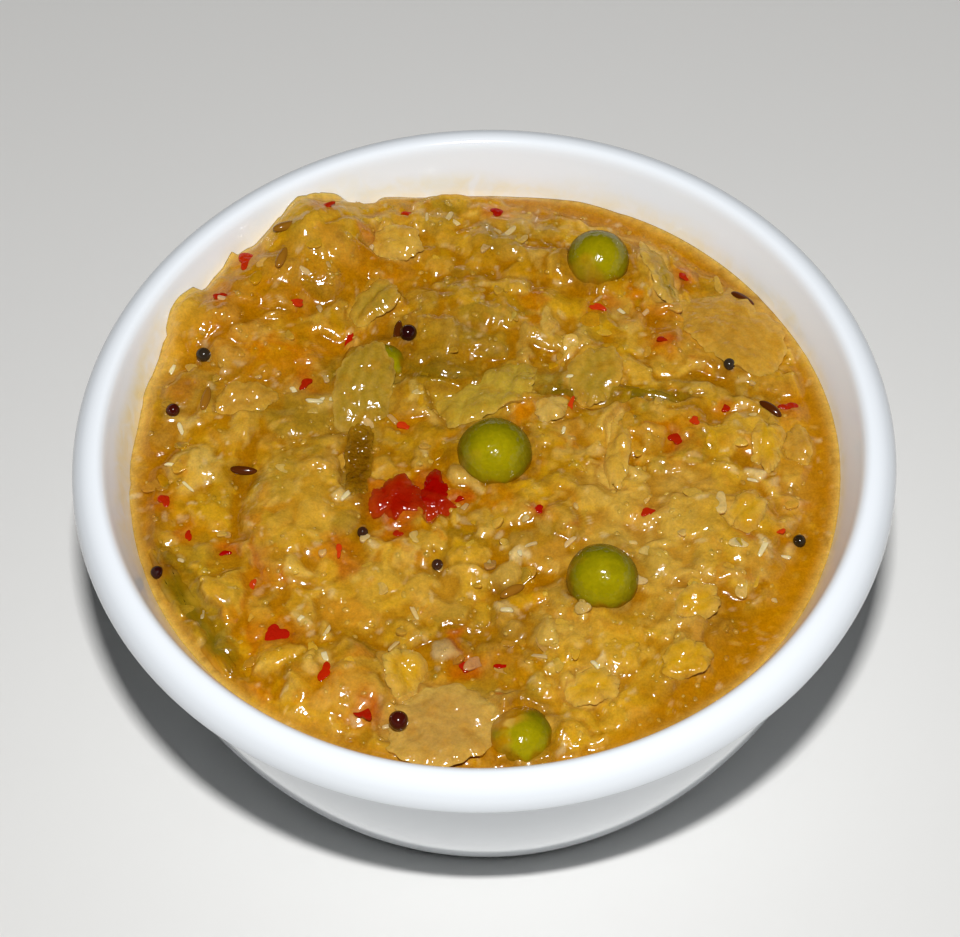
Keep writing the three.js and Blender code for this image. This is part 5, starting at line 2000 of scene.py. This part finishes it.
@dataclass
class SheetMaker:
    """Models the thin pieces: cabbage, chilli skins and curry leaves."""

    surface: StewSurface
    fine_cells: int = 40
    coarse_cells: int = 26
    fine_from: float = 3.4
    seen_share: float = 0.93
    small_waves: int = 7
    rim_share: float = 0.42
    rim_angle: float = 50.0
    smooth_angle: float = 80.0
    cabbage_seed: int = 900

    def seen_edge(self, sheet: Sheet, pixels: Rows) -> tuple[Array, Array]:
        """Finds how far an edge seen in the photograph lies out from a sheet's middle.

        Args:
            sheet: The sheet.
            pixels: The pixels round its edge.

        Returns:
            Angles round the sheet, and the edge's reach there as a share of the half sizes.
        """
        middle = self.surface.base_at(sheet.x, sheet.y) + sheet.lift
        corners = []
        for pixel in pixels:
            height = middle
            for _ in range(4):
                u, v = sheet.to_local(*self.surface.camera.at_height(pixel, height))
                height = middle + tan(radians(sheet.pitch)) * u
                height += tan(radians(sheet.roll)) * v
            corners.append((u / sheet.long, v / sheet.wide))
        loop = np.array(corners + corners[:1])
        steps = np.linspace(0, 1, 12, endpoint=False)[:, None]
        fine = np.concatenate([start + (end - start) * steps for start, end in zip(loop[:-1], loop[1:])])
        turns = np.arctan2(fine[:, 1], fine[:, 0])
        order = np.argsort(turns)
        return turns[order], np.clip(np.hypot(fine[:, 0], fine[:, 1]), 0.6, 1.4)[order]

    def make(self, sheet: Sheet, name: str, lay: Lay, paint: Painter) -> Object:
        """Models one sheet where it lies.

        Args:
            sheet: Its place and form.
            name: The name of its CAD node, which also seeds its small waves.
            lay: How it lies.
            paint: Gives colours from length, width and share of the way to the edge.

        Returns:
            The sheet, a closed mesh.
        """
        leaf = add_disc_grid(self.fine_cells if sheet.long > self.fine_from else self.coarse_cells)
        points = get_points(leaf)
        share = np.hypot(points[:, 0], points[:, 1])
        angle = np.arctan2(points[:, 1], points[:, 0])
        random = np.random.default_rng(sum(name.encode()))
        edge = sheet.outline(angle)
        if name in SEEN_EDGES:
            turns, reach = self.seen_edge(sheet, SEEN_EDGES[name])
            edge = edge + (np.interp(angle, turns, reach, period=tau) - edge) * self.seen_share
        for count in (9, 14, 23):
            edge = edge + 0.022 * np.sin(count * angle + random.uniform(0, tau))
        u = sheet.long * edge * share * np.cos(angle)
        v = sheet.wide * edge * share * np.sin(angle)
        waves = 1.6 * sheet.frill * share * np.sin(3 * angle + sheet.phases()[2])
        for _ in range(self.small_waves):
            way = random.uniform(0, tau)
            pitch = random.uniform(0.8, 3.6)
            ripple = np.sin(pitch * (u * cos(way) + v * sin(way)) + random.uniform(0, tau))
            waves = waves + lay.crumple * 0.8 / pitch * ripple
        droop = 0.42 * share**7 * (1 + 0.5 * np.sin(5 * angle + random.uniform(0, tau)))
        w = waves - sheet.bow * (u / sheet.long) ** 2 - droop - lay.sink
        w = w - lay.dip * np.exp(-(((u + 2.2) / 3.4) ** 4))
        local = np.stack([u, v + lay.sweep * u * u, w], -1)
        turn = Matrix.Rotation(radians(sheet.turn), 3, "Z")
        turn = turn @ Matrix.Rotation(-radians(sheet.pitch), 3, "Y")
        turn = turn @ Matrix.Rotation(radians(sheet.roll), 3, "X")
        middle = np.array([sheet.x, sheet.y, self.surface.base_at(sheet.x, sheet.y) + sheet.lift])
        placed = local @ np.array(turn).T + middle
        under = self.surface.read(self.surface.tone, placed[:, 0], placed[:, 1])
        fade = lay.blend * (0.3 + 0.7 * smoothstep(share + 0.8 * waves, lay.fade_from, 1.05))
        set_points(leaf, placed * MM)
        set_tone(leaf, blend(paint(u, v, share), under, fade))
        self.thicken(leaf, lay.thickness * MM)
        return leaf

    def thicken(self, leaf: Object, thickness: float) -> None:
        """Gives a sheet its thickness and a soft rim.

        Args:
            leaf: The single-sided sheet.
            thickness: Its thickness in metres.
        """
        solid = leaf.modifiers.new("thickness", "SOLIDIFY")
        solid.thickness = thickness
        solid.offset = 0
        solid.use_even_offset = True
        rim = leaf.modifiers.new("soft_rim", "BEVEL")
        rim.width = thickness * self.rim_share
        rim.segments = 3
        rim.limit_method = "ANGLE"
        rim.angle_limit = radians(self.rim_angle)
        make_active(leaf)
        for modifier in list(leaf.modifiers):
            bpy.ops.object.modifier_apply(modifier=modifier.name)

    def build_cabbage(self) -> None:
        """Models the pieces of cabbage."""
        material = CABBAGE_WET.build()
        for number, (sheet, tones) in enumerate(zip(CABBAGE, CABBAGE_TONES), 1):
            node = f"cabbage_{number}"
            lay = FLAT_CABBAGE if number in FLAT_CABBAGE_NUMBERS else CRUMPLED_CABBAGE
            leaf = self.make(sheet, node, lay, self.cabbage_paint(tones, number))
            finish_piece(leaf, f"cabbage_piece_{number}", material, node, self.smooth_angle)

    def cabbage_paint(self, tones: tuple[Tone, Tone], seed: int) -> Painter:
        """Makes the painter of one piece of cabbage.

        Args:
            tones: The tones of its middle and its edge.
            seed: Seeds its cloudiness.

        Returns:
            A function from length, width and share to colours.
        """
        phase = np.random.default_rng(self.cabbage_seed + seed).uniform(0, tau, 6)

        def paint(u: Array, v: Array, share: Array) -> Array:
            """Colours the piece: a paler rim, soft fibres and clouds of gravy.

            Args:
                u: Places along the piece.
                v: Places across it.
                share: Shares of the way to its edge.

            Returns:
                Rows of linear colours.
            """
            colours = blend(tones[0].linear, tones[1].linear, smoothstep(share, 0.5, 1.0) * 0.6)
            bend = v + 0.35 * np.sin(0.9 * u + phase[0])
            fibre = 0.5 + 0.5 * np.sin(4.2 * bend + phase[1] + 0.8 * np.sin(1.7 * u))
            colours = blend(colours, Tone.CREAM.linear, 0.2 * fibre)
            cloud = np.sin(0.9 * u + phase[2]) * np.sin(1.1 * v + phase[3])
            cloud = cloud + 0.6 * np.sin(1.9 * u + 1.2 * v + phase[4])
            cloud = cloud + 0.3 * np.sin(3.7 * u - 3 * v + phase[5])
            colours = blend(colours, Tone.GRAVY.linear, smoothstep(cloud, 0.1, 1.3) * 0.34)
            return blend(colours, Tone.CREAM.linear, smoothstep(share, 0.88, 0.98) * 0.4)

        return paint

    def build_red_chilli(self) -> None:
        """Models the red chilli skin of two lobes."""
        dark = to_linear((150, 0, 0))
        bright = to_linear((184, 70, 16))

        def paint(u: Array, v: Array, share: Array) -> Array:
            """Colours the skin: deep red, paler and clearer towards its left end.

            Args:
                u: Places along the skin.
                v: Places across it.
                share: Shares of the way to its edge.

            Returns:
                Rows of linear colours.
            """
            streak = smoothstep(np.sin(1.7 * u - 1.1 * v + 2), 0.2, 1) * 0.12
            clear = smoothstep(share * np.sign(-u - 0.6), 0.1, 0.9) * 0.35
            return blend(dark, bright, np.maximum(streak, clear))

        lobes = []
        for number, (lobe, lay) in enumerate(zip(RED_CHILLI, RED_CHILLI_LAYS), 1):
            lobes.append(self.make(lobe, f"red_chilli_{number}", lay, paint))
        make_active(lobes[0])
        lobes[1].select_set(True)
        bpy.ops.object.join()
        material = RED_CHILLI_WET.build()
        finish_piece(lobes[0], "red_chilli_skin", material, "red_chilli", self.smooth_angle)

    def build_green_chilli(self) -> None:
        """Models the green chilli skin."""
        dark = to_linear((118, 76, 2))
        light = to_linear((150, 108, 14))

        def paint(u: Array, v: Array, share: Array) -> Array:
            """Colours of the skin: dull olive brown with a lighter edge."""
            return blend(dark, light, smoothstep(share, 0.6, 1))

        skin = self.make(GREEN_CHILLI, "green_chilli", GREEN_CHILLI_LAY, paint)
        material = GREEN_CHILLI_WET.build()
        finish_piece(skin, "green_chilli_skin", material, "green_chilli", self.smooth_angle)

    def build_curry_leaves(self) -> None:
        """Models the two sunken curry leaves, the first one shifted towards the wall."""
        material = CURRY_LEAF_WET.build()
        dark = to_linear((104, 84, 2))
        light = to_linear((134, 100, 4))

        def paint(u: Array, v: Array, share: Array) -> Array:
            """Colours of the leaf: dark green with a lighter midrib, browner at the ends."""
            return blend(dark, light, np.maximum(bell(v / 0.16) * 0.5, smoothstep(share, 0.5, 1) * 0.5))

        for number, (sheet, lay) in enumerate(zip(CURRY_LEAVES, CURRY_LEAF_LAYS), 1):
            across = CURRY_LEAF_SHIFTS[number - 1]
            turn = radians(sheet.turn + 90)
            laid = replace(sheet, x=sheet.x + across * cos(turn), y=sheet.y + across * sin(turn))
            node = f"curry_leaf_{number}"
            leaf = self.make(laid, node, lay, paint)
            name = f"curry_leaf_blade_{number}"
            finish_piece(leaf, name, material, node, self.smooth_angle)


# --- Seeds, flakes and coconut ---


@dataclass(frozen=True)
class Spot:
    """Where one small thing lies: its place, half sizes, turn, tilt, sink and colour."""

    x: float
    y: float
    half: Triple
    turn: float
    tilt: float
    lift: float
    colour: Colour


@dataclass
class SmallThings:
    """Models one small thing of each kind and strews its copies as one mesh."""

    surface: StewSurface
    coconut_count: int = 52
    coconut_square: float = 40.0
    coconut_reach: float = 42.0
    grain_count: int = 700
    grain_reach: float = 41.5
    scrap_count: int = 130
    scrap_reach: float = 40.5
    mustard_colours: Rows = ((52, 42, 30), (66, 16, 8), (44, 12, 10), (60, 34, 22), (40, 30, 14))
    mustard_on_leaf: int = 6
    cumin_colours: Rows = ((82, 36, 6), (146, 96, 22))
    brown_cumin: tuple[int, ...] = (4, 5, 6, 7)
    flake_colours: Rows = ((176, 8, 2), (158, 4, 2), (198, 52, 12), (168, 18, 6))
    scrap_tones: tuple[Tone, ...] = (Tone.CREAM, Tone.PALE, Tone.YELLOW, Tone.WHITE)

    def model(self, kind: str) -> tuple[Array, list[list[int]]]:
        """Models one small thing of size 1.

        Args:
            kind: seed, grain, chip or shred.

        Returns:
            Its points and its faces.
        """
        deselect_all()
        if kind == "seed":
            bpy.ops.mesh.primitive_uv_sphere_add(segments=24, ring_count=14, radius=1)
        elif kind == "grain":
            bpy.ops.mesh.primitive_uv_sphere_add(segments=8, ring_count=5, radius=1)
        elif kind == "chip":
            bpy.ops.mesh.primitive_cylinder_add(vertices=9, radius=1, depth=2)
        else:
            bpy.ops.mesh.primitive_cube_add(size=2)
        thing = bpy.context.object
        with edit_mode(thing):
            if kind == "chip":
                bpy.ops.mesh.bevel(offset=0.2, segments=2)
            elif kind == "shred":
                bpy.ops.mesh.subdivide(number_cuts=3)
                bpy.ops.mesh.vertices_smooth(factor=0.5, repeat=3)
        points = get_points(thing)
        faces = [list(face.vertices) for face in thing.data.polygons]
        bpy.data.objects.remove(thing)
        return points, faces

    def strew(self, name: str, kind: str, spots: Sequence[Spot], warp: float, seed: int,
              finish: WetFood, smooth_angle: float = WHOLLY_SMOOTH) -> None:
        """Copies one small thing to every spot, each copy with a form of its own.

        Args:
            name: The name of the piece that the copies make up.
            kind: What to copy.
            spots: Where the copies lie.
            warp: How unlike each other they are.
            seed: Seeds their forms.
            finish: Their finish.
            smooth_angle: Edges flatter than this, in degrees, are smooth.
        """
        model, faces = self.model(kind)
        random = np.random.default_rng(seed)
        all_points = []
        all_faces = []
        all_tones = []
        for number, spot in enumerate(spots):
            local = model.copy()
            angle = np.arctan2(local[:, 1], local[:, 0])
            phase = random.uniform(0, tau, 3)
            lobes = np.cos(2 * angle + phase[0]) + 0.7 * np.cos(3 * angle + phase[1])
            local[:, :2] *= (1 + warp * lobes)[:, None]
            local[:, 2] *= 1 + warp * np.cos(angle + phase[2])
            local = local * np.array(spot.half)
            local[:, 2] -= warp * 1.2 * (local[:, 0] / spot.half[0]) ** 2 * spot.half[2]
            turn = Matrix.Rotation(spot.turn, 3, "Z") @ Matrix.Rotation(spot.tilt, 3, "Y")
            height = self.surface.height_at(spot.x, spot.y) + spot.lift
            placed = local @ np.array(turn).T + np.array([spot.x, spot.y, height])
            all_points.append(placed * MM)
            all_faces.extend([[index + number * len(model) for index in face] for face in faces])
            shade = random.uniform(0.9, 1.1)
            all_tones.append(np.tile(np.array(spot.colour) * shade, (len(model), 1)))
        mesh = bpy.data.meshes.new(name)
        mesh.from_pydata(np.concatenate(all_points).tolist(), [], all_faces)
        strewn = bpy.data.objects.new(name, mesh)
        bpy.context.scene.collection.objects.link(strewn)
        set_tone(strewn, np.concatenate(all_tones))
        turn_faces_out(strewn)
        finish_piece(strewn, name, finish.build(), "kootu", smooth_angle)

    def blended(self, x: float, y: float, tone: Tone, share: float) -> Array:
        """Mixes a share of a tone with the stew's own tone at one point."""
        under = self.surface.tone_at(x, y)
        return under + (tone.linear - under) * share

    def build_mustard(self) -> None:
        """Models the mustard seeds."""
        spots = []
        for index, (x, y, radius) in enumerate(MUSTARD_SEEDS):
            colour = to_linear(self.mustard_colours[index % len(self.mustard_colours)])
            lift = (1.25 if index == self.mustard_on_leaf else 0.35) * radius
            spots.append(Spot(x, y, (radius, radius, radius * 0.96), index, 0, lift, colour))
        self.strew("mustard_seeds", "seed", spots, 0.03, 11, MUSTARD_SKIN)

    def build_cumin(self) -> None:
        """Models the cumin seeds."""
        spots = []
        for index, (x, y, turn) in enumerate(CUMIN_SEEDS):
            colour = to_linear(self.cumin_colours[index in self.brown_cumin])
            spots.append(Spot(x, y, (1.75, 0.6, 0.55), radians(turn), 0.04, 0.2, colour))
        self.strew("cumin_seeds", "seed", spots, 0.05, 12, CUMIN_SKIN)

    def build_flakes(self) -> None:
        """Models the red chilli flakes."""
        random = np.random.default_rng(13)
        spots = []
        for index, (x, y, long, wide, turn) in enumerate(CHILLI_FLAKES):
            red = to_linear(self.flake_colours[index % len(self.flake_colours)])
            colour = red + (self.blended(x, y, Tone.RUST, 0.5) - red) * random.uniform(0, 0.16)
            tilt = random.uniform(-0.22, 0.22)
            spots.append(Spot(x, y, (long / 2, wide / 2, 0.2), radians(turn), tilt, 0.02, colour))
        self.strew("chilli_flakes", "chip", spots, 0.26, 14, FLAKE_WET, 40)

    def build_coconut(self) -> None:
        """Models the grated coconut that lies loose in the top."""
        random = np.random.default_rng(15)
        places = list(COCONUT_BITS)
        while len(places) < self.coconut_count:
            places.append(tuple(random.uniform(-self.coconut_square, self.coconut_square, 2)))
        spots = []
        for index, (x, y) in enumerate(places):
            if hypot(x, y) > self.coconut_reach:
                continue
            share = 0.85 if index < len(COCONUT_BITS) else random.uniform(0.2, 0.55)
            half = (random.uniform(0.4, 1.1), random.uniform(0.18, 0.36), random.uniform(0.14, 0.22))
            turn = random.uniform(0, tau)
            tilt = random.uniform(-0.2, 0.2)
            spots.append(Spot(x, y, half, turn, tilt, 0.0, self.blended(x, y, Tone.WHITE, share)))
        self.strew("coconut_shreds", "shred", spots, 0.12, 16, COCONUT_WET)

    def build_grains(self) -> None:
        """Models the small soft grains of lentil that stand out of the gravy."""
        random = np.random.default_rng(17)
        spots = []
        for _ in range(self.grain_count):
            reach = self.grain_reach * sqrt(random.uniform())
            angle = random.uniform(0, tau)
            x, y = reach * cos(angle), reach * sin(angle)
            size = random.uniform(0.16, 0.42)
            colour = self.blended(x, y, Tone.CREAM, random.uniform(0.05, 0.4))
            half = (size * random.uniform(1, 1.7), size, size * 0.8)
            turn = random.uniform(0, tau)
            spots.append(Spot(x, y, half, turn, random.uniform(-0.3, 0.3), -0.45 * size, colour))
        self.strew("lentil_grains", "grain", spots, 0.1, 18, GRAIN_WET)

    def build_scraps(self) -> None:
        """Models the small flat scraps of cabbage that lie aslant in the top."""
        random = np.random.default_rng(19)
        spots = []
        for _ in range(self.scrap_count):
            reach = self.scrap_reach * sqrt(random.uniform())
            angle = random.uniform(0, tau)
            x, y = reach * cos(angle), reach * sin(angle)
            size = random.uniform(0.4, 1.15)
            tone = self.scrap_tones[random.integers(4)]
            colour = self.blended(x, y, tone, random.uniform(0.1, 0.45))
            half = (size * random.uniform(1, 1.6), size * random.uniform(0.6, 1), random.uniform(0.12, 0.24))
            turn = random.uniform(0, tau)
            spots.append(Spot(x, y, half, turn, random.uniform(-0.5, 0.5), -0.1, colour))
        self.strew("cabbage_scraps", "chip", spots, 0.16, 20, SCRAP_WET)


# --- The whole ---


def main() -> None:
    """Builds the studio, the bowl and everything in it."""
    logging.basicConfig(level=logging.INFO, format="%(name)s: %(message)s")
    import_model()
    camera = PhotoCamera()
    camera.build()
    studio = Studio()
    studio.build_lights()
    studio.build_floor(PaleFloor())
    studio.set_picture()
    bowl = Bowl()
    bowl.build(BowlGlaze())
    surface = StewSurface(bowl, camera)
    surface.build()
    Stew(surface).build()
    PeaSet(surface).build()
    sheets = SheetMaker(surface)
    sheets.build_cabbage()
    sheets.build_red_chilli()
    sheets.build_green_chilli()
    sheets.build_curry_leaves()
    things = SmallThings(surface)
    things.build_mustard()
    things.build_cumin()
    things.build_flakes()
    things.build_coconut()
    things.build_grains()
    things.build_scraps()


if __name__ == "__main__":
    main()
